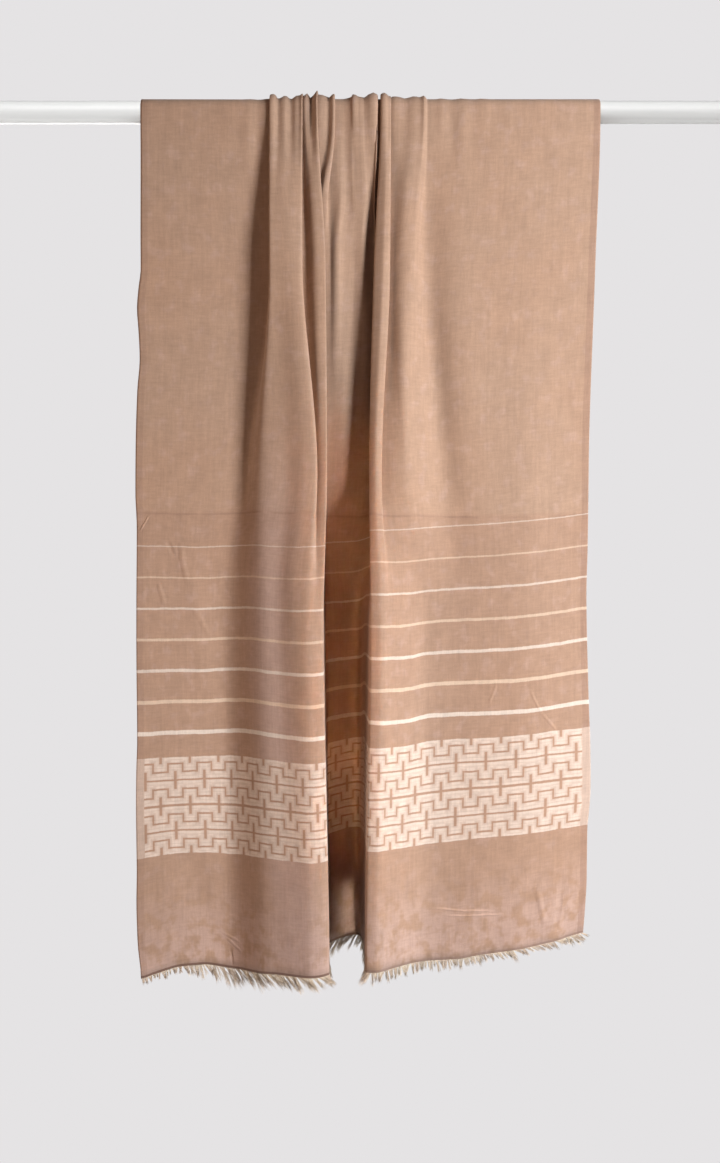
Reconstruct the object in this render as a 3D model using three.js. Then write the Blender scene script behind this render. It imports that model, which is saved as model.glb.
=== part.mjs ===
// A woven wool shawl, folded once over a level hanging rod so that one half
// hangs in front and the other behind.  The middle of the cloth is gathered
// into pleats where it crosses the rod; lower down the pleats open into two
// flat wings with a deep recess between them.
//
// Frame: millimetres, +Z up, the front of the shawl faces -Y, the rod runs
// along X and its centre is the origin.

import * as THREE from "three";

// ---------------------------------------------------------------- dimensions
const ROD_RADIUS = 12;
const ROD_LENGTH = 920;

const CLOTH_WIDTH = 800;      // edge to edge, along the weft
const WALL = 1.0;             // thickness of the cloth
const FRONT_LENGTH = 1013;    // rod centre to hem, down the left side
const HEM_RISE = 0.069;       // how fast the front hem climbs to the right
const HEM_TURN = 235;         // distance from the left edge where it starts
const BOTH_DROPS = 1952;      // front drop + back drop, the same at any width
const FREE_FROM = 300;        // above this drop both halves keep level rows

const SADDLE_DROP = 60;       // the piece over the rod reaches this far down
const SEAM = 0.35;            // clear gap above and below a piece
const SIDE_SEAM = 0.85;       // and along its sides
const FRINGE_FRONT = 17;      // reach of the fringe below the hem
const FRINGE_BACK = 15;
const FRINGE_WALL = 1.6;
const FOLD_GAP = 2.2;         // spacing of stacked layers at the rod

// ------------------------------------------------------------- fold tables
// One row for each fold line, from the left edge to the right edge.
//   lap    +1 or -1 where the cloth doubles back on itself, 0 where it doesn't
//   soft   width over which the fold is rounded, at each station
//   at     [x, out] at each station; out is the distance in front of (or
//          behind, for the back drop) the vertical plane through the rod
// Stations are drops below the rod's centre.
const FRONT_STATIONS = [0, 190, 430, 610, 1013];
const FRONT_FOLDS = [
  { name: "left_edge",     lap: 0,  soft: [4, 8, 20, 20, 20],    at: [[-268.2, 13.2], [-270.5, 11.6], [-274, 6.2], [-274.3, 4.8], [-267.6, 5.8]] },
  { name: "valley",        lap: 1,  soft: [2, 10, 30, 60, 60],   at: [[-106, 14], [-113, 7], [-145, 3], [-166, -12], [-163, -10]] },
  { name: "pleat_left",    lap: 1,  soft: [2, 9, 36, 46, 46],    at: [[-117, 17.4], [-117, 30], [-131, 24], [-129, 17], [-126, 17]] },
  { name: "pleat_right",   lap: -1, soft: [3, 9, 14, 24, 24],    at: [[-80, 19.4], [-80, 30], [-61, 41], [-73, 37.5], [-69, 37.5]] },
  { name: "tuck_a",        lap: -1, soft: [2, 4, 6, 10, 10],     at: [[-87, 16.6], [-84, 17], [-64.5, 29], [-63, 35.5], [-56, 36.5]] },
  { name: "ridge_b",       lap: -1, soft: [3, 10, 13, 9, 9],     at: [[-62.5, 18.2], [-52.2, 26.5], [-49.5, 37.5], [-55, 33], [-48, 33]] },
  { name: "return_left",   lap: -1, soft: [2, 10, 16, 30, 30],   at: [[-80, 14.2], [-90, 5], [-92, -6], [-57, -65], [-54, -65]] },
  { name: "fold_d",        lap: -1, soft: [3, 16, 24, 30, 30],   at: [[-43, 18], [-55, 14], [-52, 4], [-42, -77], [-40, -77]] },
  { name: "tuck_d",        lap: -1, soft: [2, 12, 24, 30, 30],   at: [[-56, 14], [-47, 13.5], [-42, 7], [-34, -83], [-33, -83]] },
  { name: "wave_1",        lap: 0,  soft: [6, 12, 30, 30, 30],   at: [[-33, 13.6], [-37, 18], [-30, 11], [-28, -86.5], [-27, -86.5]] },
  { name: "wave_2",        lap: 0,  soft: [5, 14, 30, 30, 30],   at: [[-22, 18.4], [-20, 12], [-20, 8], [-22, -89], [-22, -89]] },
  { name: "wave_3",        lap: 0,  soft: [5, 14, 30, 20, 20],   at: [[-14.5, 15.2], [-10, 14.5], [-10, 8], [-17, -89], [-17, -89]] },
  { name: "wave_4",        lap: 0,  soft: [5, 12, 30, 20, 20],   at: [[-8.5, 14.2], [-2, 12], [-2, 5], [-12, -84], [-13, -84]] },
  { name: "fold_f",        lap: -1, soft: [2, 10, 24, 20, 20],   at: [[7.5, 19.4], [6, 9], [4, 1], [-9, -76], [-11, -76]] },
  { name: "tuck_f",        lap: -1, soft: [2, 12, 24, 20, 20],   at: [[2.5, 14.4], [8, 3], [9, -8], [-7, -66], [-10, -66]] },
  { name: "hidden",        lap: 1,  soft: [2, 8, 20, 20, 20],    at: [[62, 14], [60, -2], [47, -14], [-4, -50], [-8, -50]] },
  { name: "ridge_g",       lap: 1,  soft: [2, 4, 6, 7, 7],       at: [[11.5, 16.6], [3.2, 25], [-2.8, 35.5], [-1.1, 41], [-6.3, 42]] },
  { name: "face_g",        lap: 0,  soft: [4, 8, 10, 14, 14],    at: [[18, 20.2], [14, 30.5], [5, 40.5], [11, 44], [6, 44]] },
  { name: "crease_h",      lap: -1, soft: [2, 5, 5, 20, 20],     at: [[22.5, 19.4], [21.5, 26.5], [12, 37.5], [18, 40], [13, 40]] },
  { name: "tuck_h",        lap: -1, soft: [2, 4, 5, 20, 20],     at: [[18.5, 16], [16.5, 18], [7, 30.5], [24, 35], [19, 35]] },
  { name: "step_i",        lap: 0,  soft: [4, 22, 44, 40, 40],   at: [[61, 18.6], [47, 26.5], [38, 36], [62, 6], [58, 7]] },
  { name: "flat_i",        lap: 0,  soft: [3, 18, 44, 44, 44],   at: [[65, 13.2], [62, 12.5], [82, 8], [98, 5], [94, 6]] },
  { name: "sag_j",         lap: 0,  soft: [20, 40, 50, 60, 60],  at: [[180, 13.2], [178, 14], [178, 16], [180, 12], [178, 11]] },
  { name: "curl_j",        lap: 0,  soft: [20, 30, 40, 40, 40],  at: [[240, 13.2], [234, 13], [228, 12], [227, 8], [224, 7]] },
  { name: "right_edge",    lap: 0,  soft: [4, 8, 20, 20, 20],    at: [[266.7, 13.2], [261, 13], [254.5, 12], [254, 6], [250.6, 4]] },
];

// The back drop leaves the rod with the same folds and opens into three
// outward folds; the middle one clears the recess of the front.
const BACK_STATIONS = [0, 190, 400, 600, 985];
const BACK_FOLDS = [
  { name: "left_edge",     soft: [8, 20, 20, 20],   at: [[-270, 13], [-271, 14], [-266, 26], [-262, 30]] },
  { name: "valley",        soft: [10, 50, 50, 50],  at: [[-109, 14], [-158, 18], [-160, 46], [-162, 48]] },
  { name: "pleat_left",    soft: [10, 30, 30, 30],  at: [[-116.5, 30], [-150, 62], [-146, 78], [-146, 78]] },
  { name: "pleat_right",   soft: [4, 30, 40, 40],   at: [[-76, 46], [-134, 96], [-130, 102], [-130, 100]] },
  { name: "tuck_a",        soft: [4, 20, 30, 30],   at: [[-82, 38], [-124, 97], [-120, 103], [-120, 101]] },
  { name: "ridge_b",       soft: [4, 24, 30, 30],   at: [[-52, 38], [-114, 84], [-110, 88], [-110, 86]] },
  { name: "return_left",   soft: [10, 40, 50, 50],  at: [[-88, 17], [-100, 25], [-94, 32], [-92, 34]] },
  { name: "fold_d",        soft: [12, 30, 40, 40],  at: [[-42, 26], [-90, 58], [-80, 84], [-78, 84]] },
  { name: "tuck_d",        soft: [12, 30, 40, 40],  at: [[-40, 23], [-78, 68], [-68, 100], [-66, 100]] },
  { name: "wave_1",        soft: [14, 30, 40, 40],  at: [[-27, 22], [-52, 74], [-48, 112], [-46, 112]] },
  { name: "wave_2",        soft: [14, 40, 50, 50],  at: [[-20, 20], [-25, 66], [-28, 107], [-28, 107]] },
  { name: "wave_3",        soft: [14, 30, 40, 40],  at: [[-10, 22], [2, 74], [-6, 112], [-8, 112]] },
  { name: "wave_4",        soft: [14, 30, 40, 40],  at: [[-4, 20], [22, 72], [14, 104], [12, 104]] },
  { name: "fold_f",        soft: [12, 20, 30, 30],  at: [[4, 19], [42, 66], [30, 92], [28, 92]] },
  { name: "tuck_f",        soft: [12, 20, 30, 30],  at: [[8, 16], [52, 54], [38, 74], [36, 74]] },
  { name: "hidden",        soft: [8, 40, 50, 50],   at: [[62, 16], [64, 24], [52, 31], [50, 33]] },
  { name: "ridge_g",       soft: [4, 30, 40, 40],   at: [[0, 36], [76, 76], [68, 78], [68, 78]] },
  { name: "face_g",        soft: [8, 20, 30, 30],   at: [[22, 46], [89, 99], [84, 100], [84, 98]] },
  { name: "crease_h",      soft: [4, 16, 24, 24],   at: [[32, 44], [97, 98], [92, 100], [92, 98]] },
  { name: "tuck_h",        soft: [4, 16, 24, 24],   at: [[30, 38], [103, 91], [98, 94], [98, 92]] },
  { name: "step_i",        soft: [20, 30, 40, 40],  at: [[60, 32], [114, 58], [111, 63], [111, 62]] },
  { name: "flat_i",        soft: [26, 60, 60, 60],  at: [[74, 16], [126, 22], [124, 27], [124, 28]] },
  { name: "sag_j",         soft: [40, 60, 60, 60],  at: [[180, 13], [185, 12], [180, 14], [176, 16]] },
  { name: "curl_j",        soft: [30, 40, 40, 40],  at: [[236, 13], [228, 17], [222, 24], [219, 28]] },
  { name: "right_edge",    soft: [8, 20, 20, 20],   at: [[261, 13], [251, 16], [246, 20], [243, 22]] },
].map((fold, i) => ({
  ...FRONT_FOLDS[i],
  soft: [FRONT_FOLDS[i].soft[0], ...fold.soft],
  at: [FRONT_FOLDS[i].at[0], ...fold.at],
}));

// Mesh columns follow the fold lines.  "c" puts one on the fold, "pair" one on
// each side of it, "trio" all three; "mid" adds columns between this fold and
// the next.
const COLUMNS = {
  left_edge: ["c", [0.4, 0.75]], valley: ["trio", []], pleat_left: ["trio", [0.5]],
  pleat_right: ["trio", []], tuck_a: ["pair", []], ridge_b: ["pair", [0.5]],
  return_left: ["trio", []], fold_d: ["pair", []], tuck_d: ["pair", []],
  wave_1: ["c", []], wave_2: ["c", []], wave_3: ["c", []], wave_4: ["c", []],
  fold_f: ["pair", []], tuck_f: ["pair", []], hidden: ["trio", [0.5]],
  ridge_g: ["pair", []], face_g: ["c", []], crease_h: ["pair", []],
  tuck_h: ["pair", []], step_i: ["pair", []], flat_i: ["pair", [0.5]],
  sag_j: ["c", [0.5]], curl_j: ["c", [0.5]], right_edge: ["c", []],
};

// Cloth coordinates of the two ridges that bound the front recess.
const RIDGE_B = 250;
const RIDGE_G = 526;

// ------------------------------------------------------------------ helpers
// Monotone cubic through (xs, ys).
function ease(xs, ys, x) {
  const n = xs.length;
  const slope = [];
  for (let i = 0; i < n - 1; i++) slope.push((ys[i + 1] - ys[i]) / (xs[i + 1] - xs[i]));
  const tangent = new Array(n).fill(0);
  for (let i = 1; i < n - 1; i++) {
    if (slope[i - 1] * slope[i] > 0) {
      const a = xs[i] - xs[i - 1];
      const b = xs[i + 1] - xs[i];
      tangent[i] = (3 * (a + b)) / ((2 * b + a) / slope[i - 1] + (b + 2 * a) / slope[i]);
    }
  }
  const at = Math.min(Math.max(x, xs[0]), xs[n - 1]);
  let k = 0;
  while (k < n - 2 && at >= xs[k + 1]) k++;
  const h = xs[k + 1] - xs[k];
  const t = (at - xs[k]) / h;
  return (2 * t ** 3 - 3 * t ** 2 + 1) * ys[k] + (t ** 3 - 2 * t ** 2 + t) * h * tangent[k]
    + (3 * t ** 2 - 2 * t ** 3) * ys[k + 1] + (t ** 3 - t ** 2) * h * tangent[k + 1];
}

// Straight-line interpolation of ys over rising xs.
function lerp(xs, ys, x) {
  if (x <= xs[0]) return ys[0];
  let lo = 0;
  let hi = xs.length - 1;
  if (x >= xs[hi]) return ys[hi];
  while (hi - lo > 1) {
    const mid = (lo + hi) >> 1;
    if (xs[mid] <= x) lo = mid; else hi = mid;
  }
  return ys[lo] + ((ys[hi] - ys[lo]) * (x - xs[lo])) / (xs[hi] - xs[lo] || 1e-9);
}

// ------------------------------------------------------- horizontal sections
// The section of one drop: where every point across the cloth lies at a given
// drop.  A polyline through the folds is stretched to the cloth's width and
// its corners are rounded by averaging over each fold's own width, twice.
const STEPS = 1600;
const sections = new Map();
function section(back, drop) {
  const key = (back ? "b" : "f") + drop.toFixed(3);
  if (sections.has(key)) return sections.get(key);
  const folds = back ? BACK_FOLDS : FRONT_FOLDS;
  const stations = back ? BACK_STATIONS : FRONT_STATIONS;
  const corner = [];
  for (const fold of folds) {
    const x = ease(stations, fold.at.map((p) => p[0]), drop);
    const out = ease(stations, fold.at.map((p) => p[1]), drop);
    const soft = ease(stations, fold.soft, drop);
    const half = (fold.lap * FOLD_GAP * ease(stations, [1, 0.5, 0, 0, 0], drop)) / 2;
    if (fold.lap) {
      corner.push({ name: fold.name, x, out: out - half, soft });
      corner.push({ name: fold.name, x, out: out + half, soft });
    } else corner.push({ name: fold.name, x, out, soft });
  }
  const along = [0];
  for (let i = 1; i < corner.length; i++) {
    along.push(along[i - 1] + Math.hypot(corner[i].x - corner[i - 1].x, corner[i].out - corner[i - 1].out));
  }
  const total = along[along.length - 1];
  const middle = (name) => {
    const i = corner.findIndex((c) => c.name === name);
    const j = corner[i + 1] && corner[i + 1].name === name ? i + 1 : i;
    return (along[i] + along[j]) / 2;
  };
  const alongB = middle("ridge_b");
  const alongG = middle("ridge_g");
  let clothB = RIDGE_B;
  let clothG = RIDGE_G;
  if (back) {
    const t = Math.min(1, drop / BACK_STATIONS[1]);
    const blend = t * t * (3 - 2 * t);
    clothB += ((alongB * CLOTH_WIDTH) / total - clothB) * blend;
    clothG += ((alongG * CLOTH_WIDTH) / total - clothG) * blend;
  }
  const path = [0, alongB, alongG, total];
  const cloth = [0, clothB, clothG, CLOTH_WIDTH];
  const foldAt = {};
  for (const fold of folds) {
    const half = (Math.abs(fold.lap) * FOLD_GAP * ease(stations, [1, 0.5, 0, 0, 0], drop)) / 2;
    foldAt[fold.name] = { u: lerp(path, cloth, middle(fold.name)), reach: 0.4 * ease(stations, fold.soft, drop) + half };
  }
  const us = [];
  let xs = [];
  let outs = [];
  const window = [];
  const step = CLOTH_WIDTH / STEPS;
  const cornerU = along.map((a) => lerp(path, cloth, a));
  for (let i = 0; i <= STEPS; i++) {
    const u = i * step;
    const a = lerp(cloth, path, u);
    us.push(u);
    xs.push(lerp(along, corner.map((c) => c.x), a));
    outs.push(lerp(along, corner.map((c) => c.out), a));
    const soft = lerp(cornerU, corner.map((c) => c.soft), u);
    window.push(Math.min(soft, 2 * Math.min(u, CLOTH_WIDTH - u) + 1e-6) / 2);
  }
  for (let pass = 0; pass < 2; pass++) {
    const sumX = [0];
    const sumOut = [0];
    for (let i = 1; i <= STEPS; i++) {
      sumX.push(sumX[i - 1] + ((xs[i] + xs[i - 1]) / 2) * step);
      sumOut.push(sumOut[i - 1] + ((outs[i] + outs[i - 1]) / 2) * step);
    }
    const nextX = [];
    const nextOut = [];
    for (let i = 0; i <= STEPS; i++) {
      const lo = Math.max(0, us[i] - window[i] / 2);
      const hi = Math.min(CLOTH_WIDTH, us[i] + window[i] / 2);
      if (hi - lo < step / 2) {
        nextX.push(xs[i]);
        nextOut.push(outs[i]);
      } else {
        nextX.push((lerp(us, sumX, hi) - lerp(us, sumX, lo)) / (hi - lo));
        nextOut.push((lerp(us, sumOut, hi) - lerp(us, sumOut, lo)) / (hi - lo));
      }
    }
    xs = nextX;
    outs = nextOut;
  }
  const result = { us, xs, outs, foldAt };
  sections.set(key, result);
  return result;
}

// Where the mesh columns fall across the cloth at one drop.
function columns(back, drop) {
  const { foldAt } = section(back, drop);
  const names = Object.keys(COLUMNS);
  const list = [];
  names.forEach((name, i) => {
    const [kind, mids] = COLUMNS[name];
    const here = foldAt[name];
    const before = i > 0 ? here.u - foldAt[names[i - 1]].u : 1e9;
    const after = i < names.length - 1 ? foldAt[names[i + 1]].u - here.u : 1e9;
    const reach = Math.min(here.reach, 0.42 * Math.min(before, after));
    if (kind !== "c") list.push({ name, side: -1, u: here.u - reach });
    if (kind !== "pair") list.push({ name, side: 0, u: here.u });
    if (kind !== "c") list.push({ name, side: 1, u: here.u + reach });
    for (const m of mids) list.push({ name, side: 2, u: here.u + reach + (after - 2 * reach) * m });
  });
  return list;
}

// Points of the cloth's middle surface across one row, each with the mitred
// direction that keeps the wall one thickness round the folds.
function placeRow(back, drop, list) {
  const { us, xs, outs } = section(back, drop);
  const points = list.map((u) => [lerp(us, xs, u), lerp(us, outs, u)]);
  const normals = [];
  for (let i = 0; i < points.length - 1; i++) {
    const dx = points[i + 1][0] - points[i][0];
    const dout = points[i + 1][1] - points[i][1];
    const size = Math.hypot(dx, dout);
    normals.push([-dout / size, dx / size]);
  }
  return points.map(([x, out], i) => {
    const a = normals[Math.max(0, i - 1)];
    const b = normals[Math.min(normals.length - 1, i)];
    const miter = 2 / Math.max(0.8, (a[0] + b[0]) ** 2 + (a[1] + b[1]) ** 2);
    return { x, out, nx: (a[0] + b[0]) * miter, nout: (a[1] + b[1]) * miter };
  });
}

function frontHem(u) {
  return FRONT_LENGTH - HEM_RISE * Math.max(0, u - HEM_TURN);
}
function hemDrop(back, u) {
  return back ? BOTH_DROPS - frontHem(u) : frontHem(u);
}
// Real drop of a point on the row whose nominal drop is `row`.
function realDrop(back, row, u) {
  if (row <= FREE_FROM) return row;
  const last = back ? BACK_STATIONS[4] : FRONT_STATIONS[4];
  return FREE_FROM + ((row - FREE_FROM) * (hemDrop(back, u) - FREE_FROM)) / (last - FREE_FROM);
}

// The wall along one row, as [inner, outer] pairs.  A row is { back, drop } on
// either drop, or { turn } over the top of the rod, where turn runs from 0 at
// the front to 180 degrees at the back.
function wallRow(row, list, wall, lower = 0) {
  const over = row.turn !== undefined;
  const places = placeRow(over ? false : row.back, over ? 0 : row.drop, list);
  return places.map((p, i) => [-wall / 2, wall / 2].map((d) => {
    const x = p.x + p.nx * d;
    const out = p.out + p.nout * d;
    if (over) {
      const a = THREE.MathUtils.degToRad(row.turn);
      return new THREE.Vector3(x, -out * Math.cos(a), out * Math.sin(a));
    }
    return new THREE.Vector3(x, row.back ? out : -out, -realDrop(row.back, row.drop, list[i]) - lower);
  }));
}

// ------------------------------------------------------------------- solids
// A closed wall from a grid of [inner, outer] point pairs.
function wallGeometry(grid) {
  const rows = grid.length;
  const cols = grid[0].length;
  const positions = [];
  for (const line of grid) for (const pair of line) for (const p of pair) positions.push(p.x, p.y, p.z);
  const at = (r, c, side) => (r * cols + c) * 2 + side;
  const index = [];
  const quad = (a, b, c, d) => index.push(a, b, c, a, c, d);
  for (let r = 0; r < rows - 1; r++) {
    for (let c = 0; c < cols - 1; c++) {
      quad(at(r, c, 1), at(r + 1, c, 1), at(r + 1, c + 1, 1), at(r, c + 1, 1));
      quad(at(r, c, 0), at(r, c + 1, 0), at(r + 1, c + 1, 0), at(r + 1, c, 0));
    }
  }
  for (let c = 0; c < cols - 1; c++) {
    quad(at(0, c, 0), at(0, c, 1), at(0, c + 1, 1), at(0, c + 1, 0));
    quad(at(rows - 1, c, 1), at(rows - 1, c, 0), at(rows - 1, c + 1, 0), at(rows - 1, c + 1, 1));
  }
  for (let r = 0; r < rows - 1; r++) {
    quad(at(r, 0, 1), at(r, 0, 0), at(r + 1, 0, 0), at(r + 1, 0, 1));
    quad(at(r, cols - 1, 0), at(r, cols - 1, 1), at(r + 1, cols - 1, 1), at(r + 1, cols - 1, 0));
  }
  // The first and last rows set which way the faces look; turn them outward.
  const a = new THREE.Vector3();
  const b = new THREE.Vector3();
  const c = new THREE.Vector3();
  let volume = 0;
  for (let i = 0; i < index.length; i += 3) {
    a.fromArray(positions, index[i] * 3);
    b.fromArray(positions, index[i + 1] * 3);
    c.fromArray(positions, index[i + 2] * 3);
    volume += a.dot(b.cross(c)) / 6;
  }
  if (volume < 0) {
    for (let i = 0; i < index.length; i += 3) [index[i], index[i + 1]] = [index[i + 1], index[i]];
  }
  const geometry = new THREE.BufferGeometry();
  geometry.setAttribute("position", new THREE.Float32BufferAttribute(positions, 3));
  geometry.setIndex(index);
  geometry.computeVertexNormals();
  return geometry;
}

// Columns of a row from one column to another, each end given as
// [fold name, side] or null for the cloth's own edge.  Inner ends are moved
// half a seam inwards.
function span(row, from, to) {
  const over = row.turn !== undefined;
  const list = columns(over ? false : row.back, over ? 0 : row.drop);
  const find = (end) => list.findIndex((c) => c.name === end[0] && c.side === end[1]);
  const i = from ? find(from) : 0;
  const j = to ? find(to) : list.length - 1;
  return list.slice(i, j + 1).map((c, k, part) => {
    if (from && k === 0) return c.u + SIDE_SEAM / 2;
    if (to && k === part.length - 1) return c.u - SIDE_SEAM / 2;
    return c.u;
  });
}

function clothPiece(rows, from, to) {
  return wallGeometry(rows.map((row) => wallRow(row, span(row, from, to), WALL)));
}

// The reach of the fringe under one stretch of hem, on every other column.
function fringePiece(back, from, to, reach) {
  const last = { back, drop: back ? BACK_STATIONS[4] : FRONT_STATIONS[4] };
  const us = span(last, from, to).filter((u, k, all) => k % 2 === 0 || k === all.length - 1);
  return wallGeometry([2 * SEAM, reach].map((lower) => wallRow(last, us, FRINGE_WALL, lower)));
}

// ------------------------------------------------------------------ assembly
const wool = new THREE.MeshStandardMaterial({ color: 0xa9928a, roughness: 0.95, metalness: 0 });
const woolBack = new THREE.MeshStandardMaterial({ color: 0xa08a83, roughness: 0.95, metalness: 0 });
const yarn = new THREE.MeshStandardMaterial({ color: 0xc9bfae, roughness: 1, metalness: 0 });
const paint = new THREE.MeshStandardMaterial({ color: 0xe9e8e6, roughness: 0.35, metalness: 0 });

const shawlOnRod = new THREE.Group();
function add(name, geometry, material) {
  const mesh = new THREE.Mesh(geometry, material);
  mesh.name = name;
  shawlOnRod.add(mesh);
  return mesh;
}

const rod = add("hanging_rod", new THREE.CylinderGeometry(ROD_RADIUS, ROD_RADIUS, ROD_LENGTH, 48, 1), paint);
rod.rotation.z = Math.PI / 2;

const onFront = (drop) => ({ back: false, drop });
const onBack = (drop) => ({ back: true, drop });
const saddleEnd = SADDLE_DROP - SEAM;
const saddleRows = [
  ...[saddleEnd, 26, 0].map(onFront),
  ...[15, 30, 45, 60, 75, 90, 105, 120, 135, 150, 165].map((turn) => ({ turn })),
  ...[0, 26, saddleEnd].map(onBack),
];
const frontRows = [SADDLE_DROP, 95, 130, 165, 205, 250, 300, 350, 400, 445, 490, 535, 575, 610, 810, 1013].map(onFront);
const backRows = [SADDLE_DROP, 110, 160, 210, 260, 315, 370, 430, 490, 545, 600, 985].map(onBack);

add("shawl_over_rod", clothPiece(saddleRows, null, null), wool);

const LEFT_SEAM = ["wave_1", 0];       // the left corner at the back of the recess
const RIGHT_SEAM = ["wave_4", 0];      // and the right corner
const stretches = { left: [null, LEFT_SEAM], middle: [LEFT_SEAM, RIGHT_SEAM], right: [RIGHT_SEAM, null] };
for (const [side, [from, to]] of Object.entries(stretches)) {
  add("front_" + side, clothPiece(frontRows, from, to), wool);
  add("back_" + side, clothPiece(backRows, from, to), woolBack);
  add("front_fringe_" + side, fringePiece(false, from, to, FRINGE_FRONT), yarn);
  add("back_fringe_" + side, fringePiece(true, from, to, FRINGE_BACK), yarn);
}

export default shawlOnRod;
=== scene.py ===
"""Looks of a wool shawl hung over a round rod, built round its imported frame."""

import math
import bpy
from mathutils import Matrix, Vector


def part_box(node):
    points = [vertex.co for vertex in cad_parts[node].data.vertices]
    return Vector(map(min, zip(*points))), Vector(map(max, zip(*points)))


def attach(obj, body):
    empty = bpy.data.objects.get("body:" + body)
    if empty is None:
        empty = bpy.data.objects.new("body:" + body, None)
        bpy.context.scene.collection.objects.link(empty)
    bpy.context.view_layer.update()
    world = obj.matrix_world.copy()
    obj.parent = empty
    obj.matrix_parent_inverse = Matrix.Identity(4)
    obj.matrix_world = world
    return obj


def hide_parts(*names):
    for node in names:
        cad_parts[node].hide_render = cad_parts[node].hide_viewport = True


bl_info = {
    "name": "Wool Shawl on a Rod",
    "version": (1, 0, 0),
    "blender": (4, 5, 0),
    "location": "View3D > Sidebar > Shawl",
    "description": "Drapes, weaves and fringes a wool shawl over a hanging rod",
    "category": "Add Mesh",
}

import bmesh
import bpy
import numpy as np
from mathutils import Vector

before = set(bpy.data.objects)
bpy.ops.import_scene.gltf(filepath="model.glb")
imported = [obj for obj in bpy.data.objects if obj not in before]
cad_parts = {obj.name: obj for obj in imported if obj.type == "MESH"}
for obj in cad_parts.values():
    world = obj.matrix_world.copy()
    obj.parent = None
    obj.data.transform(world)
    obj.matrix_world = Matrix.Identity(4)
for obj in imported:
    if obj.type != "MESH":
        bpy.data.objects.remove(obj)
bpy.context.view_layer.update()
ROD_LOW, ROD_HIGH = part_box("hanging_rod")
MM = 0.001
MOST_TRIANGLES = 200000

# --------------------------------------------------------------- fold tables
# One row for each fold line, from the left edge of the cloth to the right:
# name, lap, then for each station (softness, x, out).  lap is +1 or -1 where
# the cloth doubles back on itself at the rod; softness is the width over which
# the fold is rounded; out is the distance in front of the rod's centre plane,
# or behind it for the back drop.  Stations are drops below the rod's centre.
FRONT_STATIONS = (0, 190, 430, 610, 1013)
FRONT_FOLDS = (
    (
        "left_edge", 0, (4, -268.2, 13.2), (8, -270.5, 11.6), (20, -274, 6.2),
        (20, -274.3, 4.8), (20, -267.6, 5.8),
    ),
    ("valley", 1, (2, -106, 14), (10, -113, 7), (30, -145, 3), (60, -166, -12), (60, -163, -10)),
    ("pleat_left", 1, (2, -117, 17.4), (9, -117, 30), (36, -131, 24), (46, -129, 17), (46, -126, 17)),
    ("pleat_right", -1, (3, -80, 19.4), (9, -80, 30), (14, -61, 41), (24, -73, 37.5), (24, -69, 37.5)),
    ("tuck_a", -1, (2, -87, 16.6), (4, -84, 17), (6, -64.5, 29), (10, -63, 35.5), (10, -56, 36.5)),
    ("ridge_b", -1, (3, -62.5, 18.2), (10, -52.2, 26.5), (13, -49.5, 37.5), (9, -55, 33), (9, -48, 33)),
    ("return_left", -1, (2, -80, 14.2), (10, -90, 5), (16, -92, -6), (30, -57, -65), (30, -54, -65)),
    ("fold_d", -1, (3, -43, 18.0), (16, -55, 14), (24, -52, 4), (30, -42, -77), (30, -40, -77)),
    ("tuck_d", -1, (2, -56, 14), (12, -47, 13.5), (24, -42, 7), (30, -34, -83), (30, -33, -83)),
    ("wave_1", 0, (6, -33, 13.6), (12, -37, 18), (30, -30, 11), (30, -28, -86.5), (30, -27, -86.5)),
    ("wave_2", 0, (5, -22, 18.4), (14, -20, 12), (30, -20, 8), (30, -22, -89), (30, -22, -89)),
    ("wave_3", 0, (5, -14.5, 15.2), (14, -10, 14.5), (30, -10, 8), (20, -17, -89), (20, -17, -89)),
    ("wave_4", 0, (5, -8.5, 14.2), (12, -2, 12), (30, -2, 5), (20, -12, -84), (20, -13, -84)),
    ("fold_f", -1, (2, 7.5, 19.4), (10, 6, 9), (24, 4, 1), (20, -9, -76), (20, -11, -76)),
    ("tuck_f", -1, (2, 2.5, 14.4), (12, 8, 3), (24, 9, -8), (20, -7, -66), (20, -10, -66)),
    ("hidden", 1, (2, 62, 14), (8, 60, -2), (20, 47, -14), (20, -4, -50), (20, -8, -50)),
    ("ridge_g", 1, (2, 11.5, 16.6), (4, 3.2, 25), (6, -2.8, 35.5), (7, -1.1, 41), (7, -6.3, 42)),
    ("face_g", 0, (4, 18, 20.2), (8, 14, 30.5), (10, 5, 40.5), (14, 11, 44), (14, 6, 44)),
    ("crease_h", -1, (2, 22.5, 19.4), (5, 21.5, 26.5), (5, 12, 37.5), (20, 18, 40), (20, 13, 40)),
    ("tuck_h", -1, (2, 18.5, 16), (4, 16.5, 18), (5, 7, 30.5), (20, 24, 35), (20, 19, 35)),
    ("step_i", 0, (4, 61, 18.6), (22, 47, 26.5), (44, 38, 36), (40, 62, 6), (40, 58, 7)),
    ("flat_i", 0, (3, 65, 13.2), (18, 62, 12.5), (44, 82, 8), (44, 98, 5), (44, 94, 6)),
    ("sag_j", 0, (20, 180, 13.2), (40, 178, 14), (50, 178, 16), (60, 180, 12), (60, 178, 11)),
    ("curl_j", 0, (20, 240, 13.2), (30, 234, 13), (40, 228, 12), (40, 227, 8), (40, 224, 7)),
    ("right_edge", 0, (4, 266.7, 13.2), (8, 261, 13), (20, 254.5, 12), (20, 254, 6), (20, 250.6, 4)),
)
BACK_STATIONS = (0, 190, 400, 600, 985)
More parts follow.
